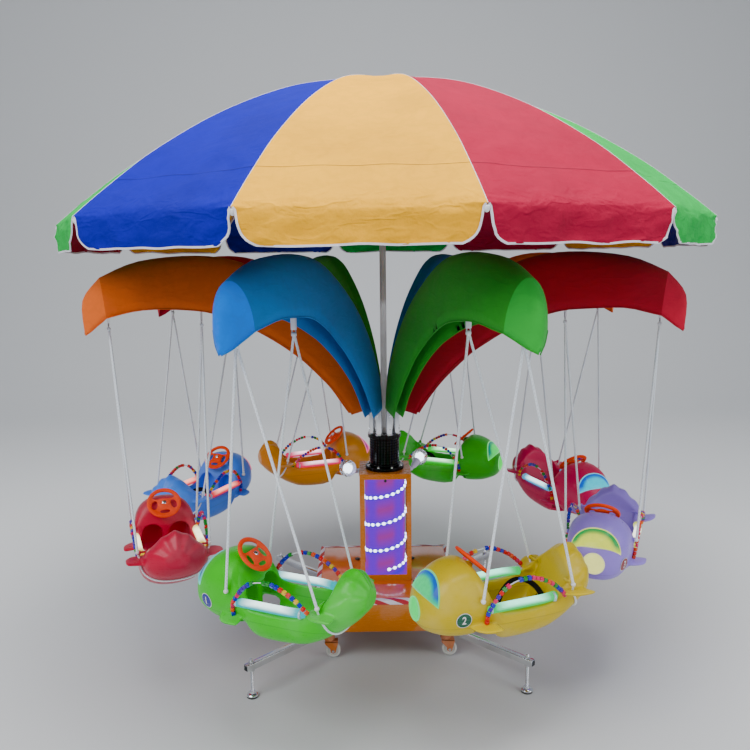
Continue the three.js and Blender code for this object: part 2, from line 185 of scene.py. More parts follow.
def group(name, inputs, outputs):
    """A shader node group with named sockets, and its input and output nodes."""
    tree = bpy.data.node_groups.new(name, "ShaderNodeTree")
    for label, kind, value in inputs:
        tree.interface.new_socket(label, in_out="INPUT",
            socket_type="NodeSocket" + kind).default_value = value
    for label, kind in outputs:
        tree.interface.new_socket(label, in_out="OUTPUT", socket_type="NodeSocket" + kind)
    return tree, tree.nodes.new("NodeGroupInput"), tree.nodes.new("NodeGroupOutput")


def use(tree, made, **sockets):
    """Places a node group in a material with its own values."""
    return put(tree, "Group", {"node_tree": made}, **sockets)


def maths(tree, sign, *values):
    """A Math node, by its sign or by the name of what it does."""
    operation = {"+": "ADD", "-": "SUBTRACT", "*": "MULTIPLY", "/": "DIVIDE"}.get(sign, sign)
    return put(tree, "Math", {"operation": operation},
        **{f"i{i}": v for i, v in enumerate(values)}).outputs[0]


def ramp(tree, value, low, high, out_low=0.0, out_high=1.0):
    """A smooth step of a value from one level to another."""
    return put(tree, "MapRange", {"interpolation_type": "SMOOTHSTEP"}, Value=value, From_Min=low,
        From_Max=high, To_Min=out_low, To_Max=out_high).outputs[0]


BLACK = (0, 0, 0, 1)


def mixed(tree, amount, first, second, blend="MIX"):
    return put(tree, "Mix", {"data_type": "RGBA", "blend_type": blend}, i0=amount, i6=first,
        i7=second).outputs[2]


def own_place(tree):
    """The piece's own coordinates."""
    return put(tree, "TexCoord").outputs["Object"]


def own_map(tree):
    """The piece's UV map, in metres."""
    return put(tree, "UVMap").outputs[0]


def split(tree, vector):
    """The X, Y and Z of a vector."""
    return put(tree, "SeparateXYZ", Vector=vector).outputs


def noisy(tree, spot=None, **sockets):
    """Noise over the piece's own coordinates, or over others that are given."""
    return put(tree, "TexNoise", Vector=spot or own_place(tree), **sockets).outputs["Fac"]


def bumped(tree, strength, distance, height, **sockets):
    return put(tree, "Bump", Strength=strength, Distance=distance, Height=height, **sockets).outputs[0]


# Lacquer: colour drifts a little over the surface, fine orange peel, wiping marks and settled dust.
lacquer, tree_in, tree_out = group("lacquer", [("Colour", "Color", (1, 1, 1, 1)), ("Gloss", "Float", 0.25),
    ("Drift", "Float", 0.12), ("Dust", "Float", 0.15), ("Peel", "Float", 0.12)],
    [("Colour", "Color"), ("Roughness", "Float"), ("Normal", "Vector")])
spot = own_place(lacquer)
cloud = noisy(lacquer, spot, Scale=5.0, Detail=4.0)
wiped = noisy(lacquer, put(lacquer, "Mapping", Vector=spot, Scale=(2.0, 3.0, 10.0)).outputs[0], Scale=21.0,
    Detail=6.0, Roughness=0.7)
peel = noisy(lacquer, spot, Scale=190.0, Detail=2.0)
facing = split(lacquer, put(lacquer, "NewGeometry").outputs["Normal"])["Z"]
shade = ramp(lacquer, cloud, 0.3, 0.7, -1.0, 1.0)
toned = mixed(lacquer, maths(lacquer, "*", maths(lacquer, "ABSOLUTE", shade), tree_in.outputs["Drift"]),
    tree_in.outputs["Colour"], mixed(lacquer, ramp(lacquer, shade, -0.2, 0.2), BLACK, (1, 1, 1, 1)))
settled = maths(lacquer, "*", maths(lacquer, "*", ramp(lacquer, facing, 0.3, 1.0),
    ramp(lacquer, wiped, 0.45, 0.75)), tree_in.outputs["Dust"])
lacquer.links.new(mixed(lacquer, settled, toned, tint(205, 198, 186)), tree_out.inputs["Colour"])
lacquer.links.new(maths(lacquer, "+", maths(lacquer, "+", tree_in.outputs["Gloss"], settled),
    maths(lacquer, "*", wiped, 0.14)), tree_out.inputs["Roughness"])
lacquer.links.new(bumped(lacquer, tree_in.outputs["Peel"], 0.002, peel), tree_out.inputs["Normal"])


def lacquered(name, colour, gloss=0.2, drift=0.12, dust=0.15, peel=0.12, metal=0.0, coat=0.0, **more):
    made, tree = material(name)
    skin = use(tree, lacquer, Colour=colour, Gloss=gloss, Drift=drift, Dust=dust, Peel=peel).outputs
    close_material(tree, Base_Color=skin["Colour"], Roughness=skin["Roughness"], Normal=skin["Normal"],
        Metallic=metal, Coat_Weight=coat, Coat_Roughness=0.08, **more)
    return made


def merged(bm, part, material=0, matrix=None, outward=True):
    """Adds a part to a piece: placed, with its finish, its doubles merged and its faces outwards."""
    bmesh.ops.remove_doubles(part, verts=part.verts, dist=1e-6)
    if outward:
        bmesh.ops.recalc_face_normals(part, faces=part.faces)
    if matrix:
        part.transform(matrix)
    part.loops.layers.uv.verify()
    for face in part.faces:
        face.material_index = material
    mesh = bpy.data.meshes.new("part")
    part.to_mesh(mesh)
    part.free()
    bm.from_mesh(mesh)
    bpy.data.meshes.remove(mesh)


def empty_piece():
    bm = bmesh.new()
    bm.loops.layers.uv.verify()
    return bm


def block(low, high, edge=0.0, segments=2):
    """A box between two corners, its edges rounded."""
    bm = bmesh.new()
    size = Vector(high) - Vector(low)
    bmesh.ops.create_cube(bm, size=1, matrix=at((Vector(high) + Vector(low)) / 2)
        @ Matrix.Diagonal((*size, 1)))
    if edge:
        bmesh.ops.bevel(bm, geom=bm.edges[:], offset=edge, segments=segments, profile=0.5,
            affect="EDGES", material=-1)
    return bm


def turned(profile, steps=32):
    """A profile of (radius, height) pairs spun about Z."""
    bm = bmesh.new()
    line = [bm.verts.new((r, 0, z)) for r, z in profile]
    edges = [bm.edges.new(pair) for pair in zip(line, line[1:])]
    bmesh.ops.spin(bm, geom=line + edges, cent=(0, 0, 0), axis=(0, 0, 1), angle=2 * pi, steps=steps,
        use_merge=True)
    return bm


def rounded(radius, low, high, edge, inner=0.0):
    """The profile of a disc or drum with rounded rims."""
    turn = [(edge * sin(a * pi / 8), edge * cos(a * pi / 8)) for a in range(5)]
    return ([(inner, low)] + [(radius - edge + s, low + edge - c) for s, c in turn]
        + [(radius - edge + s, high - edge + c) for s, c in reversed(turn)] + [(inner, high)])


def at(*place):
    """A move, given as three numbers or as one vector."""
    return Matrix.Translation(place if len(place) == 3 else place[0])


def spun(angle, axis="Z"):
    return Matrix.Rotation(angle, 4, axis)


orange_steel = lacquered("orange_steel", tint(206, 114, 0), gloss=0.20, drift=0.07, dust=0.03,
    Specular_IOR_Level=0.35)
orange_deck = lacquered("orange_deck", tint(228, 108, 24), gloss=0.06, drift=0.08, dust=0.03,
    peel=0.05, coat=0.5)
black_rubber = lacquered("black_rubber", tint(26, 26, 28), gloss=0.45, dust=0.3)
hazard_tape, tree = material("hazard_tape")
cross = split(tree, own_map(tree))
leaned = maths(tree, "-", cross["X"], maths(tree, "*", cross["Y"], 2.4))
stripe = maths(tree, "PINGPONG", leaned, 0.062)
worn = noisy(tree, Scale=60.0, Detail=6.0)
dyed = mixed(tree, ramp(tree, stripe, 0.0290, 0.0310), tint(196, 8, 40), tint(238, 230, 244))
close_material(tree, Base_Color=mixed(tree, ramp(tree, worn, 0.62, 0.74, 0.0, 0.5), dyed,
    tint(150, 140, 135)), Roughness=ramp(tree, worn, 0.3, 0.8, 0.3, 0.6), Coat_Weight=0.2)

low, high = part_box("base_box")
deck, half = 0.324, high.x
plate_at, plate_half, bolt_at = 0.3, 0.052, (0.148, 0.150)
box = block((-half, -half, low.z), (half, half, deck), 0.006, 3)
under = [f for f in box.faces if f.normal.z < -0.99]
bmesh.ops.inset_region(box, faces=under, thickness=0.006, depth=0.0)
for face in under:
    bmesh.ops.translate(box, verts=face.verts, vec=(0, 0, 0.135))
bm = empty_piece()
merged(bm, box, outward=False)
for face in bm.faces:
    face.material_index = 3 * (face.normal.z > 0.99 and face.calc_center_median().z > deck - 0.001)
for sx in (-1, 1):
    for sy in (-1, 1):
        merged(bm, block((sx * plate_at - plate_half, sy * plate_at - plate_half, low.z + 0.001),
            (sx * plate_at + plate_half, sy * plate_at + plate_half, low.z + 0.008), 0.001))
        merged(bm, turned(rounded(0.013, deck - 0.001, deck + 0.009, 0.004), 20), 1,
            at(sx * bolt_at[0], sy * bolt_at[1], 0))
for turn in range(4):
    rows = [(-half + 0.024, deck + 0.0008), (-half + 0.007, deck + 0.0008), (-half + 0.0012, deck - 0.0012),
        (-half - 0.0008, deck - 0.007), (-half - 0.0008, deck - 0.022)]
    # a strip along one edge, mitred at both ends
    tape = strung([[(x * (-y if y > -half else half), y, z) for x in (-1, 1)] for y, z in rows],
        closed=False)
    uv = tape.loops.layers.uv.verify()
    for face in tape.faces:
        for corner in face.loops:
            corner[uv].uv.x = corner.vert.co.x
    merged(bm, tape, 2, spun(turn * pi / 2))
base_box = shown("base_box_shell", bm, [orange_steel, black_rubber, hazard_tape, orange_deck])
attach(base_box, "stand")
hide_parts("base_box")

# ---------- Outriggers ----------
# Four chromed square tubes bolt under the box corners and reach out diagonally. Each ends in a levelling
# screw with a hexagon nut and a round swivel pad with a rubber sole.
chrome, tree = material("chrome")
spot = own_place(tree)
smear = noisy(tree, spot, Scale=9.0, Detail=3.0)
pits = noisy(tree, spot, Scale=340.0, Detail=1.0)
close_material(tree, Base_Color=mixed(tree, ramp(tree, smear, 0.4, 0.8), tint(232, 234, 238),
    tint(196, 196, 198)), Metallic=1.0, Roughness=ramp(tree, smear, 0.3, 0.8, 0.10, 0.26),
    Normal=bumped(tree, 0.04, 0.001, pits))
pitch, core_r, crest_r = 0.0062, 0.0062, 0.0078
screw = [(0.0, 0.012)]
for turn in range(26):
    z = 0.020 + turn * pitch
    screw += [(core_r, z), (crest_r, z + pitch / 2)]
screw += [(core_r, 0.1814), (0.0, 0.1830)]
CORNERS = ((-1, -1), (1, -1), (-1, 1), (1, 1))
reach = sqrt(2)
inner_end, outer_end, screw_at, tube_z, tube_half, tube_wall = 0.322, 0.638, 0.616, 0.1477, 0.015, 0.0018
for number, (sx, sy) in enumerate(CORNERS, 1):
    bm = empty_piece()
    arm = block((inner_end * reach, -tube_half, tube_z - tube_half),
        (outer_end * reach, tube_half, tube_z + tube_half), 0.003, 3)
    for face in [f for f in arm.faces if abs(f.normal.x) > 0.99]:
        bmesh.ops.inset_individual(arm, faces=[face], thickness=tube_wall)
        bmesh.ops.translate(arm, verts=face.verts, vec=face.normal * -0.03)
    merged(bm, arm, 0, spun(atan2(sy, sx)))
    foot = at(sx * screw_at, sy * screw_at, 0)
    merged(bm, turned(screw, 16), 0, foot)
    merged(bm, turned([(0, 0.006), (0.024, 0.006), (0.0262, 0.008), (0.0262, 0.013), (0.022, 0.018),
        (0.014, 0.021), (0.012, 0.028), (0, 0.028)], 32), 0, foot)
    merged(bm, turned(rounded(0.0255, 0.0, 0.0068, 0.0015), 32), 1, foot)
    for z in (tube_z - 0.0240, tube_z + 0.0152):
        merged(bm, turned([(0, z), (0.0125, z), (0.0135, z + 0.001), (0.0135, z + 0.0078),
            (0.0125, z + 0.0088), (0, z + 0.0088)], 6), 0, foot)
    outrigger = shown(f"outrigger_arm_{number}", bm, [chrome, black_rubber], 30)
    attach(outrigger, "stand")
    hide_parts(f"outrigger_{number}")

# ---------- Castors ----------
# Pressed-steel swivel forks in the same orange hang under the box corners. Their white nylon wheels turn
# on a through bolt and hang just clear of the ground while the ride stands on its screws.
castor_paint = lacquered("castor_paint", tint(205, 108, 22), gloss=0.3, dust=0.3)
nylon = lacquered("nylon", tint(226, 224, 218), gloss=0.4, dust=0.4)
castor_at, cheek_out, cheek_half, axle_at = 0.285, 0.0195, 0.0019, (0.018, 0, 0.041)
cheek = [(0.042, 0.090), (-0.022, 0.090), (-0.022, 0.080), (0.004, 0.052), (0.006, 0.036), (0.018, 0.029),
    (0.030, 0.036), (0.034, 0.052), (0.042, 0.080)]
for number, (sx, sy) in enumerate(CORNERS, 1):
    place = at(sx * castor_at, sy * castor_at, 0)
    bm = empty_piece()
    merged(bm, turned([(0, 0.1624), (0.032, 0.1624), (0.034, 0.161), (0.034, 0.156), (0.030, 0.1545),
        (0.026, 0.150), (0.0235, 0.135), (0.0235, 0.120), (0.027, 0.112), (0.027, 0.098), (0.022, 0.092),
        (0, 0.092)], 32), 0, place)
    for y in (-cheek_out, cheek_out):
        merged(bm, strung([[(x, y + t, z) for x, z in cheek] for t in (-cheek_half, cheek_half)]), 0, place)
    merged(bm, block((-0.022, -0.0214, 0.084), (0.042, 0.0214, 0.0915), 0.002), 0, place)
    across = place @ at(*axle_at) @ spun(pi / 2, "X")
    merged(bm, turned([(0, -0.0235), (0.004, -0.0235), (0.004, 0.0235), (0, 0.0235)], 12), 1, across)
    for z in (-0.0240, 0.0216):
        merged(bm, turned([(0, z), (0.0075, z), (0.0075, z + 0.0028), (0, z + 0.0028)], 6), 1, across)
    fork = shown(f"castor_bracket_{number}", bm, [castor_paint, chrome], 30)
    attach(fork, f"castor_swivel_{number}")
    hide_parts(f"castor_fork_{number}")
    bm = empty_piece()
    merged(bm, turned([(0.0048, -0.0125), (0.011, -0.0125), (0.012, -0.0085), (0.024, -0.0075),
        (0.026, -0.0118), (0.033, -0.012), (0.0358, -0.009), (0.036, 0.0), (0.0358, 0.009), (0.033, 0.012),
        (0.026, 0.0118), (0.024, 0.0075), (0.012, 0.0085), (0.011, 0.0125), (0.0048, 0.0125),
        (0.0048, -0.0125)], 40), 0, across)
    wheel = shown(f"castor_tyre_{number}", bm, [nylon], 50)
    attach(wheel, f"castor_roller_{number}")
    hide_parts(f"castor_wheel_{number}")

# ---------- Column frame ----------
# A folded sheet-steel post in the same gloss orange, with one large window in each side. Its top plate
# carries a black cast bearing flange, held by eight bright bolts.
wide, foot_z, head_z, fold_in = 0.1285, deck + 0.0003, 0.880, 0.0032
window_half, sill_z, lintel_z = 0.104, foot_z + 0.030, 0.850
bm = empty_piece()
for turn in range(4):
    # one side: a face with its window, folded in round the opening
    outline = [(-wide, foot_z), (wide, foot_z), (wide, head_z), (-wide, head_z)]
    window = [(-window_half, sill_z), (window_half, sill_z), (window_half, lintel_z),
        (-window_half, lintel_z)]
    wall = strung([[(x, -wide, z) for x, z in outline], [(x, -wide, z) for x, z in window],
        [(x, -wide + fold_in, z) for x, z in window]], ends=False)
    merged(bm, wall, 0, spun(turn * pi / 2))
merged(bm, block((-wide, -wide, head_z - 0.004), (wide, wide, head_z)))
bmesh.ops.remove_doubles(bm, verts=bm.verts, dist=1e-5)
fold = [e for e in bm.edges if len(e.link_faces) == 2 and e.calc_face_angle(0) > 1.0]
bmesh.ops.bevel(bm, geom=fold, offset=0.0022, segments=3, profile=0.5, affect="EDGES", material=-1)
for turn in range(4):
    # the welded skirt at the foot
    merged(bm, block((-wide - 0.003, -wide - 0.003, foot_z), (wide + 0.003, -wide + 0.002, foot_z + 0.004),
        0.0012), 0, spun(turn * pi / 2))
column = shown("column_shell", bm, [orange_steel], 30)
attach(column, "stand")
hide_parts("column_frame")

black_gloss = lacquered("black_gloss", tint(1, 1, 2), gloss=0.04, drift=0.0, dust=0.0, peel=0.06,
    Specular_IOR_Level=0.18)
bolt_ring = 0.0875
bm = empty_piece()
merged(bm, turned(rounded(0.098, 0.8765, 0.8960, 0.004), 64))
merged(bm, turned(rounded(0.0765, 0.8950, 0.9080, 0.003), 64))
for turn in range(8):
    place = spun((turn + 0.5) * pi / 4) @ at(bolt_ring, 0, 0)
    merged(bm, turned([(0, 0.8955), (0.0078, 0.8955), (0.0078, 0.8968), (0.0065, 0.8970), (0.0065, 0.9015),
        (0.0055, 0.9025), (0.0030, 0.9025), (0.0030, 0.9010), (0, 0.9010)], 12), 1, place)
flange = shown("bearing_flange", bm, [black_gloss, chrome], 35)
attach(flange, "stand")

# ---------- Light column ----------
# Behind the windows four clear acrylic panes close the post. In the middle stands a white tube lit violet
# and blue, with a white string of lamps wound round it like the thread of a screw.
pane, tree = material("acrylic_pane")
close_material(tree, Base_Color=(0.93, 0.9, 1, 1), Roughness=0.03, IOR=1.1, Transmission_Weight=1.0)
# heights at which the string passes the front of the tube, its mean pitch and its distance from the middle
TURN_HEIGHTS = [0.9030, 0.7556, 0.6156, 0.4747, 0.3690]
MEAN_PITCH, STRING_OUT = 0.1405, 0.1015
lit_tube, tree = material("lit_tube")
spot = split(tree, own_place(tree))
angle = maths(tree, "ARCTAN2", spot["X"], maths(tree, "*", spot["Y"], -1.0))
wound = maths(tree, "-", maths(tree, "/", maths(tree, "-", spot["Z"], TURN_HEIGHTS[3]), MEAN_PITCH),
    maths(tree, "/", angle, 2 * pi))
band = maths(tree, "PINGPONG", wound, 0.5)
# the glow is painted brighter and pinker where the tube faces each window and dimmer towards the corners, a
# painted highlight
window = ramp(tree, maths(tree, "COSINE", maths(tree, "*", angle, 4.0)), -1.1, 0.4)
painted_glare = maths(tree, "*", maths(tree, "POWER", maths(tree, "*", band, 2.0), 1.1), window)
violet = mixed(tree, ramp(tree, band, 0.0, 0.2), tint(82, 0, 248), tint(124, 0, 244))
close_material(tree, Base_Color=(0.002, 0.0, 0.01, 1), Roughness=0.6, Specular_IOR_Level=0.02,
    Emission_Color=mixed(tree, painted_glare, violet, tint(176, 62, 160)), Emission_Strength=0.95)
lamp_white, tree = material("lamp_white")
close_material(tree, Base_Color=(0.9, 0.95, 1, 1), Emission_Color=tint(214, 236, 255),
    Emission_Strength=5.0)
lamp_lead, tree = material("lamp_lead")
close_material(tree, Base_Color=(0.7, 0.8, 1, 1), Emission_Color=tint(130, 190, 255), Emission_Strength=1.4)

low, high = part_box("light_column")
bm = empty_piece()
outer, foot_z, head_z = high.x, low.z, high.z
for turn in range(4):
    merged(bm, block((-outer + 0.0045, -outer, foot_z + 0.004), (outer - 0.0045, -outer + 0.004, head_z),
        0.0008), 0, spun(turn * pi / 2))
merged(bm, turned([(0, foot_z + 0.003), (0.098, foot_z + 0.003), (0.098, head_z - 0.015),
    (0, head_z - 0.015)], 72), 1)
merged(bm, block((-outer, -outer, foot_z), (outer, outer, foot_z + 0.003), 0.0008), 1)
merged(bm, turned(rounded(0.007, 0, 0.006, 0.002), 16), 4, at(0, -outer + 0.0045, 0.842)
    @ spun(pi / 2, "X"))


def circle(radius, sides):
    return [(radius * cos(a * 2 * pi / sides), radius * sin(a * 2 * pi / sides)) for a in range(sides)]


def bar(points, section, up=None, swell=None):
    """A section swept along points without twisting. swell scales it at each point."""
    points = [Vector(p) for p in points]
    side, rings = None, []
    for k, p in enumerate(points):
        run = (points[min(k + 1, len(points) - 1)] - points[max(k - 1, 0)]).normalized()
        if side is None:
            side = Vector(up).cross(run) if up else run.orthogonal()
        side = (side - run * side.dot(run)).normalized()
        other = run.cross(side)
        grow = swell[k] if swell else 1
        rings.append([p + side * (a * grow) + other * (b * grow) for a, b in section])
    return strung(rings)


def wound_at(turns):
    """A point of the string, by turns down from the top."""
    k = min(int(turns), len(TURN_HEIGHTS) - 2)
    z = TURN_HEIGHTS[k] + (TURN_HEIGHTS[k + 1] - TURN_HEIGHTS[k]) * (turns - k)
    return Vector((-STRING_OUT * sin(turns * 2 * pi), -STRING_OUT * cos(turns * 2 * pi), z))


first, last, steps, bead_gap = 0.24, 3.975, 150, 0.0295
merged(bm, bar([wound_at(first + (last - first) * k / steps) for k in range(steps + 1)],
    circle(0.0026, 6)), 3)
bead = bmesh.new()
bmesh.ops.create_uvsphere(bead, u_segments=10, v_segments=7, radius=1)
count = int((last - first) * 2 * pi * STRING_OUT / bead_gap)
for k in range(count + 1):
    turns = first + (last - first) * k / count
    here, there = wound_at(turns), wound_at(turns + 0.01)
    place = at(here) @ (there - here).to_track_quat("X", "Z").to_matrix().to_4x4()
    merged(bm, bead.copy(), 2, place @ Matrix.Diagonal((0.0098, 0.0064, 0.0078, 1)))
bead.free()
light = shown("light_column_core", bm, [pane, lit_tube, lamp_white, lamp_lead, black_rubber], 35)
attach(light, "stand")
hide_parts("light_column")

# ---------- Ball lamps ----------
# Two show lamps stand off the post on angled holders: a clear faceted ball over a bright lamp, in a
# tapered white plastic socket.
faceted, tree = material("faceted_clear")
close_material(tree, Base_Color=(0.94, 0.97, 1, 1), Roughness=0.02, IOR=1.46, Transmission_Weight=1.0)
socket_white, tree = material("socket_white")
cloud = noisy(tree, Scale=30.0)
close_material(tree, Base_Color=mixed(tree, cloud, tint(226, 222, 244), tint(198, 190, 224)),
    Roughness=ramp(tree, cloud, 0.3, 0.7, 0.25, 0.4))
core_glow, tree = material("core_glow")
close_material(tree, Base_Color=(1, 1, 1, 1), Emission_Color=tint(225, 238, 255), Emission_Strength=4.0)
centre, root = Vector((0.186, 0.100, 0.904)), Vector((0.1428, 0.022, 0.868))
lean = (centre - root).to_track_quat("Z", "Y").to_matrix().to_4x4()
run = (centre - root).length
for number, half_turn in ((1, pi), (2, 0)):
    bm = empty_piece()
    ball = bmesh.new()
    bmesh.ops.create_uvsphere(ball, u_segments=14, v_segments=10, radius=0.0425)
    merged(bm, ball, 0, at(centre) @ lean)
    core = bmesh.new()
    bmesh.ops.create_uvsphere(core, u_segments=16, v_segments=10, radius=0.017)
    merged(bm, core, 2, at(centre))
    merged(bm, turned([(0, 0.0), (0.0095, 0.0), (0.0105, 0.004), (0.0112, 0.016), (0.0150, 0.018),
        (0.0200, run - 0.040), (0.0205, run - 0.036), (0, run - 0.036)], 28), 1, at(root) @ lean)
    merged(bm, block((0.1288, -0.002, 0.844), (0.1328, 0.038, 0.876), 0.0015), 3)
    merged(bm, block((0.1290, 0.005, 0.857), (0.1455, 0.031, 0.8755), 0.003), 1)
    lamp = shown(f"show_lamp_{number}", bm, [faceted, socket_white, core_glow, chrome], 12)
    lamp.data.transform(spun(half_turn))
    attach(lamp, "stand")
    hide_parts(f"ball_lamp_{number}")

# ---------- Rotor ----------
# A ribbed black drum turns on the flange. Eight chromed tubes stand in chromed sockets on its top ring,
# bend out under the petals and carry, under a small plate, the pins that the webbing hangs from.


def eased(points, steps):
    """A smooth curve through points: steps pieces between each two."""
    points = [Vector(p) for p in points]
    line = []
    for k in range(len(points) - 1):
        a, b, c, d = (points[min(max(k + j, 0), len(points) - 1)] for j in (-1, 0, 1, 2))
        for s in range(steps):
            t = s / steps
            line.append(0.5 * (2 * b + (c - a) * t + (2 * a - 5 * b + 4 * c - d) * t * t
                + (3 * b - a - 3 * c + d) * t ** 3))
    return line + [points[-1]]


# the petals' outline by station: ridge out and up, hem out and up, half width, roundness of the ridge
RIDGE = [(0.048, 1.200, 0.180, 1.172, 0.024, 0.35), (0.070, 1.330, 0.250, 1.277, 0.026, 0.35),
    (0.128, 1.452, 0.335, 1.377, 0.029, 0.38), (0.215, 1.580, 0.435, 1.472, 0.034, 0.42),
    (0.340, 1.710, 0.550, 1.556, 0.042, 0.48), (0.510, 1.830, 0.680, 1.632, 0.056, 0.56),
    (0.700, 1.925, 0.820, 1.692, 0.076, 0.68), (0.900, 1.957, 0.960, 1.720, 0.094, 0.80),
    (1.150, 1.935, 1.150, 1.728, 0.106, 0.95), (1.316, 1.867, 1.300, 1.696, 0.088, 1.0)]
ARM_BELOW, SOCKET_OUT = 0.0177, 0.066
HOOKS = ((1.290, 1.84356), (0.890, 1.92405))
seat_turns = [radians(155.5 + 45 * k) for k in range(8)]


def below_ridge(r, z, er, ez):
    """Where the tube runs under a station of the petal's ridge."""
    away = hypot(er - r, ez - z)
    return (0, r + (er - r) / away * ARM_BELOW, z + (ez - z) / away * ARM_BELOW)


arm_line = [(0, SOCKET_OUT, z) for z in (1.062, 1.150, 1.198)]
arm_line += [below_ridge(*station[:4]) for station in RIDGE[1:9]]
arm_line.append(below_ridge(*(a + (b - a) * 0.88 for a, b in zip(RIDGE[8][:4], RIDGE[9][:4]))))

cable_black = lacquered("cable_black", tint(18, 18, 20), gloss=0.35, dust=0.1)
bm = empty_piece()
rib_r, groove_r = 0.0758, 0.0722
profile = [(0, 0.9085), (0.0690, 0.9085), (0.0740, 0.9100)]
for rib in range(9):
    z = 0.9125 + rib * 0.0138
    profile += [(rib_r, z), (rib_r, z + 0.0088), (groove_r, z + 0.0100), (groove_r, z + 0.0126)]
profile += [(rib_r, 1.0368), (0.0780, 1.0400), (0.0825, 1.0405), (0.0838, 1.0420), (0.0838, 1.0595),
    (0.0820, 1.0618), (0.0560, 1.0618), (0.0545, 1.0605), (0.0, 1.0605)]
merged(bm, turned(profile, 64))
for k, turn in enumerate(seat_turns):
    place = spun(turn)
    merged(bm, bar(eased(arm_line, 5), circle(0.0108, 14), (1, 0, 0)), 1, place)
    socket = turned([(0.0, 1.0615), (0.0200, 1.0615), (0.0205, 1.0625), (0.0205, 1.0650), (0.0152, 1.0665),
        (0.0150, 1.1840), (0.0142, 1.1895), (0.0112, 1.1900), (0.0, 1.1900)], 22)
    merged(bm, socket, 1, place @ at(0, SOCKET_OUT, 0))
    for z in (1.090, 1.160):
        merged(bm, turned([(0, 0), (0.0048, 0), (0.0048, 0.0026), (0.0036, 0.0040), (0, 0.0040)], 6), 1,
            place @ at(0, 0.0805, z) @ spun(-pi / 2, "X"))
    for out, pin in HOOKS:
        for left, right in ((-0.0165, -0.0135), (0.0135, 0.0165)):
            merged(bm, block((left, out - 0.003, pin + 0.0005), (right, out + 0.003, pin + 0.012),
                0.0008), 1, place)
        merged(bm, block((-0.0165, out - 0.0045, pin + 0.0095), (0.0165, out + 0.0045, pin + 0.0125),
            0.001), 1, place)
        pin_shape = turned([(0, -0.019), (0.0052, -0.019), (0.0056, -0.0185), (0.0056, -0.0168),
            (0.0038, -0.0165), (0.0038, 0.0165), (0.0056, 0.0168), (0.0056, 0.0185), (0.0052, 0.019),
            (0, 0.019)], 14)
        merged(bm, pin_shape, 1, place @ at(0, out, pin) @ spun(pi / 2, "Y"))
    # the lamp cable, tied to the foot of the tube
    loop = [(0.004, 0.0575, 1.060), (0.006, 0.0515, 1.085), (-0.002, 0.0500, 1.120), (0.005, 0.0512, 1.150),
        (0.003, 0.0520, 1.175), (0.001, 0.0550, 1.196)]
    merged(bm, bar(eased([Vector(p) + Vector((0.003 * sin(7 * k), 0, 0)) for p in loop], 4),
        circle(0.0016, 6)), 2, place)
rotor = shown("rotor_drum_and_arms", bm, [black_gloss, chrome, cable_black], 35)
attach(rotor, "rotor")
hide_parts("rotor_frame")

# ---------- Umbrella frame ----------
# The umbrella's steel pole is painted pale grey. A hub at its top holds twelve flat spring ribs, and
# twelve thinner struts prop them from a sliding collar. A white plastic knob closes each rib.
RIM = [(1.500, 2.098), (1.370, 2.206), (1.160, 2.362), (0.860, 2.536), (0.520, 2.676), (0.200, 2.750)]
rib_turns = [radians(-19.2 + 30 * k) for k in range(12)]
pole_grey = lacquered("pole_grey", tint(196, 194, 196), gloss=0.3, drift=0.2, dust=0.2, metal=0.3)
white_plastic = lacquered("white_plastic", tint(240, 240, 240), gloss=0.35, dust=0.1)
bm = empty_piece()
merged(bm, turned([(0, 1.0623), (0.0225, 1.0623), (0.0230, 1.0630), (0.0230, 1.0830), (0.0220, 1.0840),
    (0.0160, 1.0845), (0.0160, 1.700), (0.0163, 1.7005), (0.0163, 1.7400), (0.0160, 1.7405),
    (0.0160, 2.7355), (0.0072, 2.7365), (0.0072, 2.7500), (0, 2.7500)], 28))
for z in (2.300, 2.676):
    merged(bm, turned([(0.0162, z)] + rounded(0.034, z, z + 0.046, 0.006, 0.0162)[1:] + [(0.0162, z)], 28),
        1)
    for turn in rib_turns:
        merged(bm, block((-0.004, -0.040, z + 0.012), (0.004, -0.030, z + 0.034), 0.001), 1, spun(turn))
merged(bm, turned([(0.0078, 2.7486), (0.0195, 2.7486), (0.0215, 2.7500), (0.0200, 2.7560), (0.0125, 2.7605),
    (0.0118, 2.7615), (0.0060, 2.7619), (0, 2.7620)], 24), 2)


def strip(half_wide, half_thick):
    """The section of a flat strip."""
    return [(x * half_wide, y * half_thick) for x, y in ((-1, -1), (1, -1), (1, 1), (-1, 1))]


rib = eased([(0, -r, z - 0.0165) for r, z in ((0.030, 2.7325), *reversed(RIM[1:]))]
    + [(0, -1.492, 2.0845)], 6)
strut = [(0, -0.036, 2.323), (0, -0.838, 2.5295)]
for k, turn in enumerate(rib_turns):
    place = spun(turn)
    merged(bm, bar(rib, strip(0.0045, 0.0025), (1, 0, 0)), 0, place)
    merged(bm, bar(strut, circle(0.004, 8), (1, 0, 0)), 0, place)
    merged(bm, block((-0.006, -0.848, 2.5235), (0.006, -0.828, 2.5345), 0.002), 1, place)
    knob = turned([(0, -0.012), (0.0050, -0.0112), (0.0082, -0.007), (0.0090, 0.0), (0.0082, 0.006),
        (0.0052, 0.010), (0, 0.011)], 16)
    merged(bm, knob, 1, place @ at(0, -1.492, 2.081) @ spun(radians(35), "X"))
umbrella = shown("umbrella_pole_and_ribs", bm, [pole_grey, white_plastic, black_gloss], 35)
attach(umbrella, "rotor")
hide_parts("umbrella_frame")

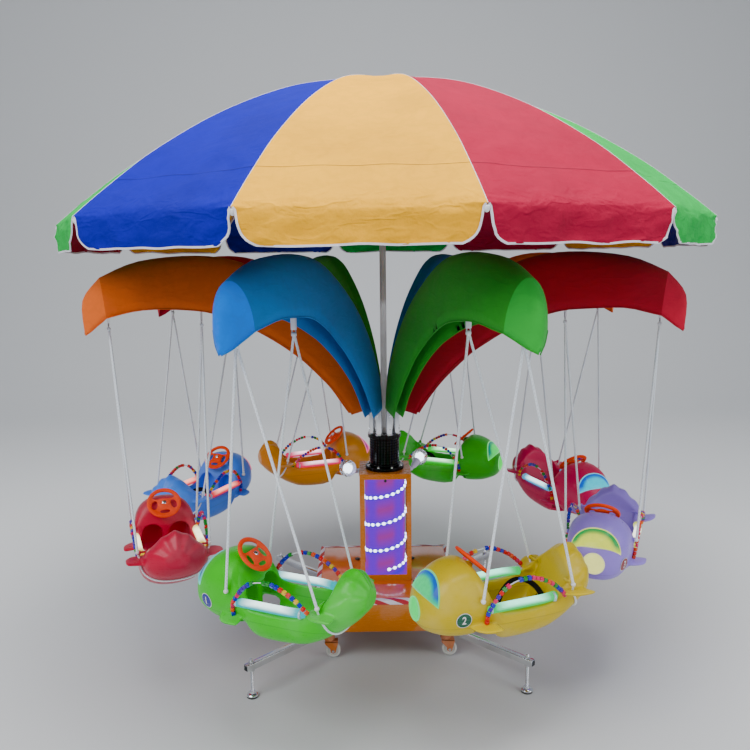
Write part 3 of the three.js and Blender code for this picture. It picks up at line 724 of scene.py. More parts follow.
# ---------- Canopy ----------
# Twelve sewn gores of coated polyester, dyed yellow, red, green and blue in turn, are pulled over the ribs
# as one skin. A felled seam crosses each gore, and below the rim it ends in a loose rounded flap bound in
# white.
woven, tree_in, tree_out = group("woven", [("Colour", "Color", (1, 1, 1, 1)), ("Threads", "Float", 900.0),
    ("Crumple", "Float", 0.5), ("Fade", "Float", 0.2)], [("Colour", "Color"), ("Roughness", "Float"),
    ("Normal", "Vector")])
cross = split(woven, own_map(woven))
waves = maths(woven, "*", tree_in.outputs["Threads"], 6.283)
wales, picks = (maths(woven, "SINE", maths(woven, "*", cross[axis], waves)) for axis in "XY")
spot = own_place(woven)
cloud = noisy(woven, spot, Scale=2.4, Detail=3.0)
folds = noisy(woven, spot, Scale=11.0, Detail=4.0, Roughness=0.55)
creased = maths(woven, "ABSOLUTE", maths(woven, "-", folds, 0.5))
# dark lines along the folds, painted shade in the creases
painted_crease_shade = ramp(woven, creased, 0.0, 0.10, 1.0, 0.0)
faded = mixed(woven, maths(woven, "*", ramp(woven, cloud, 0.35, 0.75), tree_in.outputs["Fade"]),
    tree_in.outputs["Colour"], (0.5, 0.5, 0.5, 1), "SOFT_LIGHT")
worn = maths(woven, "*", ramp(woven, cloud, 0.6, 0.35), 0.12)
# the cloth is darkened at random where worn, and along the fold lines as painted shade
woven.links.new(mixed(woven, maths(woven, "+", worn, maths(woven, "*", painted_crease_shade, 0.05)), faded, BLACK),
    tree_out.inputs["Colour"])
woven.links.new(maths(woven, "+", 0.62, maths(woven, "*", cloud, 0.25)), tree_out.inputs["Roughness"])
wrinkle = noisy(woven, put(woven, "Mapping", Vector=spot, Rotation=(0.5, 0.6, 0.7),
    Scale=(1.0, 1.0, 2.6)).outputs[0], Scale=7.0, Detail=2.0, Distortion=0.5)
ridges = ramp(woven, maths(woven, "ABSOLUTE", maths(woven, "-", wrinkle, 0.5)), 0.0, 0.10, 1.0, 0.0)
soft = bumped(woven, tree_in.outputs["Crumple"], 0.014,
    maths(woven, "+", folds, maths(woven, "*", ridges, 0.13)))
woven.links.new(bumped(woven, 0.35, 0.0003, maths(woven, "*", wales, picks), Normal=soft),
    tree_out.inputs["Normal"])


def cloth(name, colour, threads=900.0, crumple=0.5, fade=0.12, seam=None, loose=None, **more):
    """A woven finish. A felled seam crosses it seam metres down, and it hangs free from loose on."""
    made, tree = material(name)
    if loose:
        down = split(tree, own_map(tree))["Y"]
        crumple = ramp(tree, down, loose - 0.12, loose + 0.02, 0.3, 1.0)
    skin = use(tree, woven, Colour=colour, Threads=threads, Crumple=crumple, Fade=fade).outputs
    shade, normal = skin["Colour"], skin["Normal"]
    if seam:
        down = maths(tree, "-", split(tree, own_map(tree))["Y"], seam)
        away = maths(tree, "ABSOLUTE", down)
        shade = mixed(tree, ramp(tree, away, 0.0014, 0.0026, 0.62, 0.0), shade, BLACK)
        normal = bumped(tree, 0.6, 0.0015, ramp(tree, away, 0.002, 0.007, 1.0, 0.0), Normal=normal)
    close_material(tree, Base_Color=shade, Roughness=skin["Roughness"], Normal=normal,
        Specular_IOR_Level=0.2, **more)
    return made


# the rim's height, half of a gore's rim and its middle's distance from the pole
RIM_Z, HALF, OUT = RIM[0][1], RIM[0][0] * sin(pi / 12), RIM[0][0] * cos(pi / 12)
slope = eased([(0.012, 0, 2.7470), (0.10, 0, 2.7495), *((r, 0, z) for r, z in reversed(RIM))], 9)
gone = [0.0]
for a, b in zip(slope, slope[1:]):
    gone.append(gone[-1] + (b - a).length)
RIM_AT, VALANCE, TURN_OVER = gone[-1], 0.122, 0.045


def crumple(x, y, seed):
    return noise.noise(Vector((x, y, seed * 3.7 + 0.4)))


def gore_turn(k):
    return spun(radians(-4.2 + 30 * k))


def clamped(share):
    return max(0, min(share, 1))


def bare(u, s):
    """The unfolded cover in the front gore: u across from -1 to 1, s metres down the slope."""
    if s <= RIM_AT:
        k = next((i for i in range(1, len(gone)) if gone[i] >= s), len(gone) - 1)
        p = slope[k - 1].lerp(slope[k], (s - gone[k - 1]) / (gone[k] - gone[k - 1]))
        return Vector((u * p.x * sin(pi / 12), -p.x * cos(pi / 12), p.z))
    d = min((s - RIM_AT) / VALANCE, 1)
    return Vector((u * (HALF - (0.008 + 0.018 * d + 0.048 * d ** 6) * min(d * 12, 1)), -OUT + 0.0022,
        RIM_Z - (s - RIM_AT)))


def cover(k, u, s):
    """The cover as it hangs, gore k turned to its place."""
    free = 1 - abs(u) ** 6
    p = bare(u, s)
    near = (s - RIM_AT) / TURN_OVER
    if abs(near) < 1:
        a, c = bare(u, RIM_AT - TURN_OVER), bare(u, RIM_AT + TURN_OVER)
        t = (near + 1) / 2
        soft = a * (1 - t) ** 2 + Vector((u * HALF, -OUT + 0.001, RIM_Z)) * (2 * t * (1 - t)) + c * t * t
        p = p.lerp(soft, free)
    d = max(0.0, (s - RIM_AT) / VALANCE)
    x = u * HALF
    if d:
        hang = min(d * 3, 1)
        p.y -= hang * (0.012 * crumple(x * 6.5, s * 3, k) + 0.009 * crumple(x * 13, s * 10, k + 20) + 0.010
            * (1 - abs(crumple(x * 7 + s * 9, s * 11 - x * 5, k + 40))) ** 5 - 0.004)
        p.z += hang * d * 0.007 * crumple(x * 6, 0, k + 60)
    else:
        out = Vector((0, -0.55, 0.83))
        p -= out * (0.013 * (1 - u * u) * sin(pi * min(s / RIM_AT, 1)))
        low_part = clamped((s - 0.9) / 0.5)
        p += out * (free * (0.002 + 0.006 * low_part) * crumple(x * 6, s * 11, k + 80))
        # short folds where the cloth pulls at the ribs
        pull = (1 - abs(u)) * abs(u) ** 3 * 4
        p += out * (0.0034 * low_part * pull * sin(s * 150 + abs(x) * 22 + 3 * crumple(x * 5, s * 5, k)))
    return gore_turn(k) @ p


SEAM_AT = gone[min(range(len(slope)), key=lambda i: abs(slope[i].x - RIM[1][0]))] - 0.045
dyes = [cloth(name, tint(*dye), seam=SEAM_AT, loose=RIM_AT)
    for name, dye in (("canopy_yellow", (255, 182, 6)), ("canopy_red", (176, 0, 56)),
    ("canopy_green", (0, 188, 74)), ("canopy_blue", (2, 3, 164)))]
columns = [sin(v * pi / 28) * 0.55 + v / 14 * 0.45 for v in range(-14, 15)]
downs = [RIM_AT * t ** 0.9 for t in (k / 44 for k in range(43))] + [RIM_AT + VALANCE * t
    for t in (-0.36, -0.28, -0.20, -0.12, -0.05, 0, 0.05, 0.12, 0.20, 0.30, 0.42, 0.54, 0.66, 0.76, 0.85,
    0.92, 0.97, 1.0)]
downs = sorted(s for s in downs if s < RIM_AT - 0.05 or s >= RIM_AT - TURN_OVER)
bm = empty_piece()
for k in range(12):
    gore = strung([[cover(k, u, s) for u in columns] for s in downs], closed=False)
    uv = gore.loops.layers.uv.verify()
    spots = {}
    for row, s in enumerate(downs):
        for u in columns:
            spots[tuple(round(c, 5) for c in cover(k, u, s))] = (bare(u, s).x + 2 * k, s)
    for face in gore.faces:
        for corner in face.loops:
            corner[uv].uv = spots[tuple(round(c, 5) for c in corner.vert.co)]
    merged(bm, gore, k % 4, outward=False)
bmesh.ops.remove_doubles(bm, verts=bm.verts, dist=1e-5)
for face in bm.faces:
    if face.normal.dot(face.calc_center_median() - Vector((0, 0, 1.2))) < 0:
        face.normal_flip()
area = sum(face.calc_area() for face in bm.faces)
canopy = shown("canopy_cover", bm, dyes, 60)
wall = canopy.modifiers.new("wall", "SOLIDIFY")
wall.thickness, wall.offset = 0.0014, -1
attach(canopy, "rotor")
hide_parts("umbrella_canopy")

tape_white = cloth("tape_white", tint(238, 236, 246), threads=700.0, crumple=0.15, fade=0.0)
bm = empty_piece()
tape = [(-0.0010, 0.0018), (-0.0010, -0.0030), (0.0060, -0.0030), (0.0060, 0.0018)]
edge_downs = [RIM_AT + VALANCE * d for d in (0.03, 0.1, 0.2, 0.3, 0.42, 0.54, 0.66, 0.76, 0.85, 0.92, 0.97)]
for k in range(12):
    border = [cover(k, -1, s) for s in edge_downs] + [cover(k, u, RIM_AT + VALANCE) for u in columns]
    border += [cover(k, 1, s) for s in reversed(edge_downs)]
    away = gore_turn(k) @ Vector((0, -1, 0))
    rings = []
    for i, p in enumerate(border):
        run = (border[min(i + 1, len(border) - 1)] - border[max(i - 1, 0)]).normalized()
        inward = away.cross(run).normalized()
        if inward.dot(cover(k, 0, RIM_AT + VALANCE * 0.4) - p) < 0:
            inward = -inward
        rings.append([p + inward * a + away * b for a, b in tape])
    merged(bm, strung(rings))
    # the piping of the seam over each rib
    seam_line = [cover(k, 1, RIM_AT * t) for t in (j / 30 for j in range(4, 31))]
    merged(bm, bar([p - Vector((0, 0, 0.0004)) for p in seam_line], circle(0.0012, 6)))
trim = shown("canopy_trim", bm, [tape_white], 60)
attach(trim, "rotor")

# ---------- Petals ----------
# Each chromed tube carries a long petal of the same cloth, arched over it like a cowl and hemmed. It rises
# from the drum, broadens and levels out above the car, and is folded down at its end into a pointed tip.
PETAL_SLOTS = ("petal_blue", "petal_green", "petal_red", "petal_orange")
# the last four are lighter copies of the same four cloths, painted light for the folded tips
PETAL_DYES_AND_LIT_TIPS = [cloth(name, tint(*dye), crumple=0.3, fade=0.1, Sheen_Weight=0.05)
    for name, dye in zip([*PETAL_SLOTS, *(f"{slot}_painted_lit_tip" for slot in PETAL_SLOTS)],
    ((8, 124, 206), (40, 160, 32), (180, 3, 34), (224, 96, 16), (0, 128, 255), (40, 190, 62), (204, 6, 52),
    (244, 112, 34)))]
# the two stations of the folded tip, after those of RIDGE
TIP = [(1.390, 1.770, 1.350, 1.650, 0.044, 1.0), (1.389, 1.626, 1.385, 1.620, 0.005, 1.0)]
# how much lower each petal's hem hangs
HEM_DROP = [0, 0.020, 0.010, 0, 0, 0, 0, 0]
# points from hem to hem, and rows between two stations
PETAL_POINTS, PETAL_STEPS = 19, 4


def petal_rows(k):
    """The petal's cross rows from foot to tip, folded a little differently on each arm."""
    def row(station, v_list, j):
        r, z, er, ez, s, tight = station
        away = Vector((0, er - r, ez - z))
        out = []
        for v in v_list:
            a = v * pi / 2
            half = copysign(s * abs(sin(a)) ** tight, v)
            p = Vector((half, r, z)) + away * (1 - cos(a))
            # two covers hang a little lower, and each cloth pulls in below its tube and ripples at its foot
            p.z -= HEM_DROP[k] * (1 - cos(a)) * clamped(min((er - 0.55) / 0.27, (1.42 - er) / 0.18))
            foot = max(0, 1 - j / 14)
            ripple = 0.0016 + 0.0014 * foot
            p += Vector((sin(a), 0, 0)) * (ripple * crumple(v * (1.5 + 2 * foot), j * 0.25,
                k + 100) - 0.0016)
            p += away.normalized() * (0.003 * abs(v) ** 4 * crumple(j * 0.35, v, k + 120))
            out.append(p)
        return out

    last = PETAL_POINTS // 2
    v_list = [v / last for v in range(-last, last + 1)]
    stations = []
    for part in (RIDGE, [RIDGE[9], *TIP]):
        crest = eased([(r, z, tight) for r, z, er, ez, s, tight in part], PETAL_STEPS)
        hem = eased([(er, ez, s) for r, z, er, ez, s, tight in part], PETAL_STEPS)
        stations += [(a.x, a.y, b.x, b.y, b.z, a.z) for a, b in zip(crest, hem)][1 if stations else 0:]
    return [row(station, v_list, j) for j, station in enumerate(stations)]


for k, turn in enumerate(seat_turns):
    place = spun(turn)
    rows = petal_rows(k)
    skin = strung(rows, closed=False)
    area = sum(face.calc_area() for face in skin.faces)
    far = [sum(row, Vector()) / len(row) for row in rows]
    for face in skin.faces:
        if face.normal.dot(face.calc_center_median() - (far[len(far) // 2] + Vector((0, -0.2, -0.6)))) < 0:
            face.normal_flip()
    bm = empty_piece()
    merged(bm, skin, k % 4, place, outward=False)
    folded = (len(RIDGE) - 1) * PETAL_STEPS * PETAL_POINTS
    bm.verts.index_update()
    for face in bm.faces:
        # the folded tip's faces take the lighter copy, a painted highlight
        face.material_index += 4 * all(v.index >= folded for v in face.verts)
    petal = shown(f"petal_cover_{k + 1}", bm, PETAL_DYES_AND_LIT_TIPS, 40)
    for edge in petal.data.edges:
        edge.use_edge_sharp = edge.use_edge_sharp or all(folded <= v < folded + PETAL_POINTS
            for v in edge.vertices)
    wall = petal.modifiers.new("wall", "SOLIDIFY")
    wall.thickness, wall.offset = 0.0016, -1
    bm = empty_piece()
    for side in (0, -1):
        edge = [row[side] for row in rows]
        merged(bm, bar([place @ p for p in edge], circle(0.0026, 6)), k % 4)
    hem = shown(f"petal_hem_{k + 1}", bm, PETAL_DYES_AND_LIT_TIPS, 60)
    for piece in (petal, hem):
        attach(piece, "rotor")
    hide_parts(f"petal_{k + 1}")

# ---------- Ropes ----------
# A loop of white webbing hangs from each pin and holds a small steel shackle. From it two white braided
# ropes run down to the front and rear rope buttons on their side of the car.
rope_white, tree = material("rope_white")
lay = split(tree, own_map(tree))
along, around = maths(tree, "*", lay["Y"], 420.0), maths(tree, "*", lay["X"], 400.0)
braid = maths(tree, "MAXIMUM", *(maths(tree, "SINE", maths(tree, sign, along, around)) for sign in "+-"))
soiled = noisy(tree, Scale=14.0, Detail=4.0)
whiter = mixed(tree, ramp(tree, soiled, 0.45, 0.75), tint(244, 250, 255), tint(230, 238, 250))
# the braid's grooves are painted a darker blue-grey, painted shade between the strands
close_material(tree, Base_Color=mixed(tree, ramp(tree, braid, -0.2, 0.8, 0.3, 0.0), whiter,
    tint(180, 186, 200)), Roughness=0.7, Sheen_Weight=0.2, Normal=bumped(tree, 0.5, 0.0012, braid))
zinc = lacquered("zinc", tint(190, 192, 196), gloss=0.3, drift=0.2, dust=0.1, metal=0.9)
# the rope buttons along, out from and up the car, the car's and the shackles' places
KNOBS, KNOB_OUT, KNOB_UP, CAR_OUT, HOOK_UP = (0.120, -0.265), 0.152, 0.710, 1.090, 1.650
for name, (hook_out, pin), side, gap in (("outer", HOOKS[0], 1, 0.0003), ("inner", HOOKS[1], -1, 0.0022)):
    for k, turn in enumerate(seat_turns):
        place = spun(turn)
        bm = empty_piece()
        # the webbing: round the pin, down both sides, round the shackle's bow
        low_z, high_z = HOOK_UP + 0.016, pin
        path = [Vector((0, hook_out + r * cos(a), z + r * sin(a))) for r, z, start in ((0.0052, high_z, 0),
            (0.0030, low_z, pi)) for a in (start + j * pi / 8 for j in range(9))]
        path.append(path[0])
        merged(bm, bar(path, strip(0.0115, 0.0007), (0, 0.01, 1)), 0, place)
        for up_at in (0.028, 0.070):
            merged(bm, block((-0.0118, hook_out - 0.0062, pin - up_at - 0.004),
                (0.0118, hook_out + 0.0062, pin - up_at), 0.0012), 1, place)
        # the shackle and the two rope eyes in it
        bow = [(0.0085 * cos(a), hook_out, HOOK_UP + 0.006 + 0.0100 * sin(a))
            for a in (j * pi / 12 for j in range(-2, 15))]
        merged(bm, bar(bow, circle(0.0026, 8)), 2, place)
        merged(bm, bar([(-0.0105, hook_out, HOOK_UP + 0.0015), (0.0105, hook_out, HOOK_UP + 0.0015)],
            circle(0.0030, 10)), 2, place)
        merged(bm, block((-0.0095, hook_out - 0.0080, HOOK_UP - 0.0125),
            (0.0095, hook_out + 0.0080, HOOK_UP + 0.0005), 0.0035, 3), 1, place)
        for knob in KNOBS:
            top, foot = Vector((0, hook_out, HOOK_UP)), Vector((knob, CAR_OUT + side * KNOB_OUT, KNOB_UP))
            lean = atan(abs(knob) / (HOOK_UP - KNOB_UP))
            clear = (0.006 + gap + 0.005 * sin(lean)) / cos(lean)
            foot = foot + (top - foot).normalized() * clear
            merged(bm, bar([top, foot.lerp(top, 0.04), foot.lerp(top, 0.0065), foot], circle(0.0052, 10),
                None, [1, 1, 1.08, 1.0]), 1, place)
        ropes = shown(f"{name}_rope_pair_{k + 1}", bm, [tape_white, rope_white, zinc], 50)
        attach(ropes, f"{name}_hanger_{k + 1}")
        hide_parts(f"{name}_ropes_{k + 1}")

# ---------- Cars ----------
# Each seat is a hollow toy-plane tub of blown polyethylene: a round head with a dashboard and two leg
# arches behind it, low sides, two small wings a side and a raised scalloped tail.
HULL = [(0.325, 0.036, 0.614, 0.684, 0.50), (0.298, 0.088, 0.578, 0.740, 0.50),
    (0.225, 0.126, 0.548, 0.802, 0.50), (0.140, 0.138, 0.538, 0.820, 0.50),
    (0.095, 0.141, 0.546, 0.784, 0.55), (0.055, 0.146, 0.546, 0.692, 0.75),
    (0.010, 0.146, 0.503, 0.668, 0.75), (-0.150, 0.147, 0.507, 0.668, 0.75),
    (-0.235, 0.143, 0.538, 0.706, 0.62), (-0.300, 0.136, 0.578, 0.792, 0.46),
    (-0.360, 0.116, 0.620, 0.806, 0.42), (-0.408, 0.050, 0.672, 0.748, 0.45)]
COCKPIT = [(0.062, 0.100, 0.561, 0), (0.030, 0.118, 0.536, 0), (-0.060, 0.121, 0.528, 0),
    (-0.150, 0.120, 0.528, 0.005), (-0.215, 0.112, 0.545, 0.045), (-0.234, 0.090, 0.600, 0.062)]


def along_hull(stations, steps):
    """Stations of four or five numbers, smoothed."""
    fronts = eased([s[:3] for s in stations], steps)
    backs = eased([(*s[3:], 0, 0)[:3] for s in stations], steps)
    return [(*a, b.x, b.y) for a, b in zip(fronts, backs)]


def powered(t, power):
    """A power of t that keeps its sign."""
    return copysign(abs(t) ** power, t)


def hull_row(x, wide, keel, top, share, sides=64):
    """One cross ring of the tub. The tail's top is a fan, scalloped in five lobes."""
    middle, ring = keel + (top - keel) * share, []
    for i in range(sides):
        turn = i * 2 * pi / sides
        c, s = (powered(t, 0.82) for t in (cos(turn), sin(turn)))
        fan = clamped((-0.235 - x) / 0.07) * (s > 0)
        s *= 1 - 0.42 * fan * sin(pi / 2 * c) ** 2
        lobe = 0.007 * clamped((-0.285 - x) / 0.05) * max(s, 0) ** 0.5 * cos(4.4 * pi * c)
        ring.append((x, wide * c, middle + ((top - middle) * s if s > 0 else (middle - keel) * s) + lobe))
    return ring


def cockpit_row(x, wide, floor_z, set_back):
    """One cross section of the space a child sits in, rounded along the floor."""
    corner_r = 0.045
    arc = [(wide - corner_r + corner_r * cos(a), floor_z + corner_r - corner_r * sin(a))
        for a in (j * pi / 12 for j in range(7))]
    side_line = [(wide, 0.90), (wide, 0.80), (wide, 0.70), (wide, 0.64)]
    half_line = side_line + arc
    full = half_line + [(-y, z) for y, z in reversed(half_line)]
    return [(x - set_back * clamped((z - floor_z) / 0.14), y, z) for y, z in full]


def wing(front_x, back_x, reach, z, rise, side):
    """A leaf-shaped wing with a rounded edge, running into the tub."""
    rings = []
    root_y = 0.105
    # share of the way out, then how far its two edges move, how much it has risen and half its thickness
    for t, a, b, lift, thick in ((0, 0, 0, 0, 0.0085), (0.25, -0.001, -0.003, 0.05, 0.0082),
            (0.5, -0.003, -0.008, 0.25, 0.0078), (0.75, -0.007, -0.022, 0.6, 0.0072),
            (0.9, -0.010, -0.038, 0.85, 0.0065), (0.97, -0.004, -0.052, 0.95, 0.0055),
            (1.0, 0.010, -0.068, 1.0, 0.0035)):
        a, b = front_x + a, back_x + b
        y = side * (root_y + (reach - root_y) * t)
        x_mid, half = (a + b) / 2, (b - a) / 2
        rings.append([(x_mid + half * powered(cos(q), 0.6), y, z + rise * lift + thick * powered(sin(q),
            0.8)) for q in (j * pi / 12 for j in range(24))])
    return strung(rings)


def solid_of(name, parts):
    """Closed parts as one temporary object."""
    bm = bmesh.new()
    for part in parts:
        merged(bm, part)
    mesh = bpy.data.meshes.new(name)
    bm.to_mesh(mesh)
    bm.free()
    made = bpy.data.objects.new(name, mesh)
    scene.collection.objects.link(made)
    return made


def taken(made, others=()):
    """The finished mesh of a temporary object, which goes with the others."""
    bpy.context.view_layer.update()
    mesh = bpy.data.meshes.new_from_object(made.evaluated_get(bpy.context.evaluated_depsgraph_get()))
    for spent in (made, *others):
        old = spent.data
        bpy.data.objects.remove(spent)
        (bpy.data.curves if isinstance(old, bpy.types.Curve) else bpy.data.meshes).remove(old)
    bm = bmesh.new()
    bm.from_mesh(mesh)
    bpy.data.meshes.remove(mesh)
    return bm


def moulded(body, cuts, added, voxel, rounds):
    """Cuts a solid, adds parts, rebuilds the skin in even faces and softens it."""
    whole = solid_of("whole", [body])
    cutters = [solid_of(f"cut_{i}", [part]) for i, part in enumerate(cuts)]
    for cutter in cutters:
        cut = whole.modifiers.new("cut", "BOOLEAN")
        cut.operation, cut.solver, cut.object = "DIFFERENCE", "EXACT", cutter
    whole = solid_of("whole", [taken(whole, cutters), *added])
    skin = whole.modifiers.new("skin", "REMESH")
    skin.mode, skin.voxel_size = "VOXEL", voxel
    bm = taken(whole)
    for _ in range(rounds):
        bmesh.ops.smooth_vert(bm, verts=bm.verts, factor=0.5, use_axis_x=True, use_axis_y=True,
            use_axis_z=True)
    bm.loops.layers.uv.verify()
    return bm


hull_line = along_hull(HULL, 6)
hull = strung([hull_row(*s) for s in hull_line])
wheel_at, wheel_lean = Vector((0.085, 0, 0.805)), radians(43)
wheel_axis = Vector((-sin(wheel_lean), 0, cos(wheel_lean)))
added = [bar([wheel_at - wheel_axis * d for d in (0.062, 0.034, 0.0085)], circle(0.015, 16), None,
    [1.5, 1.15, 0.9])]
for side in (-1, 1):
    added.append(wing(0.060, 0.165, 0.196, 0.606, 0.000, side))
    added.append(wing(-0.330, -0.215, 0.204, 0.676, 0.012, side))
cavity = strung([cockpit_row(*s[:4]) for s in along_hull([(x, w, z, b, 0) for x, w, z, b in COCKPIT], 4)])
cuts = [cavity]
arch_z = 0.635
for side in (-1, 1):
    arch = bmesh.new()
    bmesh.ops.create_cube(arch, size=1, matrix=at(0.0825, side * 0.062, arch_z)
        @ Matrix.Diagonal((0.085, 0.096, 0.150, 1)))
    for z_sign, soft_r in ((1, 0.045), (-1, 0.016)):
        edges = [e for e in arch.edges if abs(e.verts[0].co.x - e.verts[1].co.x) > 0.05
            and all(z_sign * (v.co.z - arch_z) > 0.04 for v in e.verts)]
        bmesh.ops.bevel(arch, geom=edges, offset=soft_r, segments=8, profile=0.5,
            affect="EDGES", material=-1)
    cuts.append(arch)
    hole = turned([(0, 0.44), (0.038, 0.44), (0.038, 0.56), (0, 0.56)], 32)
    hole.transform(at(0.046, side * 0.058, 0) @ Matrix.Diagonal((1.5, 1.05, 1, 1)))
    cuts.append(hole)
tub = moulded(hull, cuts, added, 0.0052, 5)
PARTING_Z = 0.6045


def moulded_plastic(name, colour):
    """Blown plastic: soft gloss, a faint grain and the mould's parting line."""
    made, tree = material(name)
    skin = use(tree, lacquer, Colour=colour, Gloss=0.22, Drift=0.06, Dust=0.03, Peel=0.05).outputs
    up_z = split(tree, own_place(tree))["Z"]
    line = ramp(tree, maths(tree, "ABSOLUTE", maths(tree, "-", up_z, PARTING_Z)), 0.0008, 0.0022, 1.0, 0.0)
    close_material(tree, Base_Color=mixed(tree, maths(tree, "*", line, 0.22), skin["Colour"], BLACK),
        Roughness=skin["Roughness"], Specular_IOR_Level=0.25,
        Normal=bumped(tree, 0.5, 0.001, line, Normal=skin["Normal"]))
    return made


CAR_FINISH = [("car_green", (42, 204, 2)), ("car_yellow", (208, 180, 0)), ("car_purple", (154, 128, 228)),
    ("car_crimson", (222, 6, 88)), ("car_green", (42, 204, 2)), ("car_amber", (222, 142, 8)),
    ("car_blue", (68, 138, 255)), ("car_red", (200, 0, 58))]
SEATS = [spun(turn) @ at(0, CAR_OUT, 0) for turn in seat_turns]
plastics = {}
tub_mesh = bpy.data.meshes.new("tub")
tub.to_mesh(tub_mesh)
for k, (slot, colour) in enumerate(CAR_FINISH):
    if slot not in plastics:
        plastics[slot] = moulded_plastic(slot, tint(*colour))
    bm = bmesh.new()
    bm.from_mesh(tub_mesh)
    bm.transform(SEATS[k])
    car = shown(f"car_tub_{k + 1}", bm, [plastics[slot]], 70)
    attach(car, f"seat_{k + 1}")
    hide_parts(f"car_{k + 1}")

# ---------- Car lights ----------
# On each tub's sides lies a frosted light bar, and its head has a backlit half-round windscreen in a pale
# frame and a round domed nose lamp. Each car's lamps glow in a colour of their own.


def glow_of(name, strength):
    """Frosted acrylic lit from inside, coloured by the piece's own colour layer, which on the frames and
    the windscreen's edge is painted highlight and painted reflection.
    """
    made, tree = material(name)
    lit = put(tree, "Attribute", {"attribute_name": "glow"}).outputs["Color"]
    grain = noisy(tree, Scale=55.0, Detail=3.0)
    close_material(tree, Base_Color=(0.008, 0.01, 0.01, 1),
        Emission_Color=mixed(tree, ramp(tree, grain, 0.3, 0.8, 0.0, 0.12), lit, BLACK),
        Emission_Strength=strength, Roughness=ramp(tree, grain, 0.3, 0.8, 0.12, 0.3),
        Specular_IOR_Level=0.15)
    return made


bar_glow, pane_glow_and_rim_highlight = glow_of("bar_glow", 1.15), glow_of("pane_glow_and_rim_highlight", 1.4)
clear_end, tree = material("clear_end")
mist = noisy(tree, Scale=80.0)
close_material(tree, Base_Color=mixed(tree, mist, tint(208, 232, 240), tint(180, 210, 226)),
    Roughness=ramp(tree, mist, 0.3, 0.7, 0.1, 0.25), Coat_Weight=0.3)


def painted(bm, colour_at):
    """Writes the glow layer of every corner from its place in the seat's own frame."""
    layer = bm.loops.layers.float_color.get("glow") or bm.loops.layers.float_color.new("glow")
    for face in bm.faces:
        for corner in face.loops:
            corner[layer] = colour_at(corner.vert.co, face.material_index)


tub_skin = BVHTree.FromBMesh(tub)


def on_tub(origin, aim):
    """Where a ray meets the tub, and the way its skin faces there."""
    return tub_skin.ray_cast(Vector(origin), Vector(aim).normalized(), 1.0)[:2]


def patch(rows, aim, lift):
    """Rows of points laid on the tub along aim, lifted off it."""
    laid = []
    for row in rows:
        line = []
        for p, extra in row:
            point, facing = on_tub(Vector(p) - Vector(aim) * 0.4, aim)
            line.append(point + facing * (lift + extra))
        laid.append(line)
    return strung(laid, closed=False)


def half_round(a):
    """Height of the windscreen over its sill, by place across it from -1 to 1."""
    return (1 - abs(a) ** 2.2) ** (1 / 1.9)


pane_out, pane_up = Vector((0.726, 0, 0.687)), Vector((-0.687, 0, 0.726))
sill = Vector((0.306, 0, 0.720))
# light colours: bar middle, bar end, windscreen edge as painted reflection, windscreen foot, nose lamp
LIGHTS = [((225, 255, 255), (0, 190, 204), (0, 90, 150), (0, 196, 200), (0, 226, 214)),
    ((150, 255, 222), (0, 214, 96), (0, 84, 186), (0, 214, 122), (0, 236, 104)),
    ((255, 255, 236), (222, 226, 84), (0, 150, 70), (220, 232, 70), (244, 246, 140)),
    ((205, 250, 255), (0, 160, 214), (0, 76, 190), (0, 200, 226), (0, 200, 220)),
    ((190, 255, 205), (10, 206, 50), (0, 120, 100), (30, 226, 90), (20, 230, 70)),
    ((255, 205, 222), (232, 10, 92), (130, 8, 120), (236, 70, 140), (244, 50, 124)),
    ((255, 150, 130), (226, 0, 54), (140, 8, 110), (236, 70, 120), (240, 44, 90)),
    ((255, 250, 205), (240, 196, 50), (40, 160, 90), (232, 230, 90), (246, 236, 120))]
across = [sin(j * pi / 32) for j in range(-15, 16)]
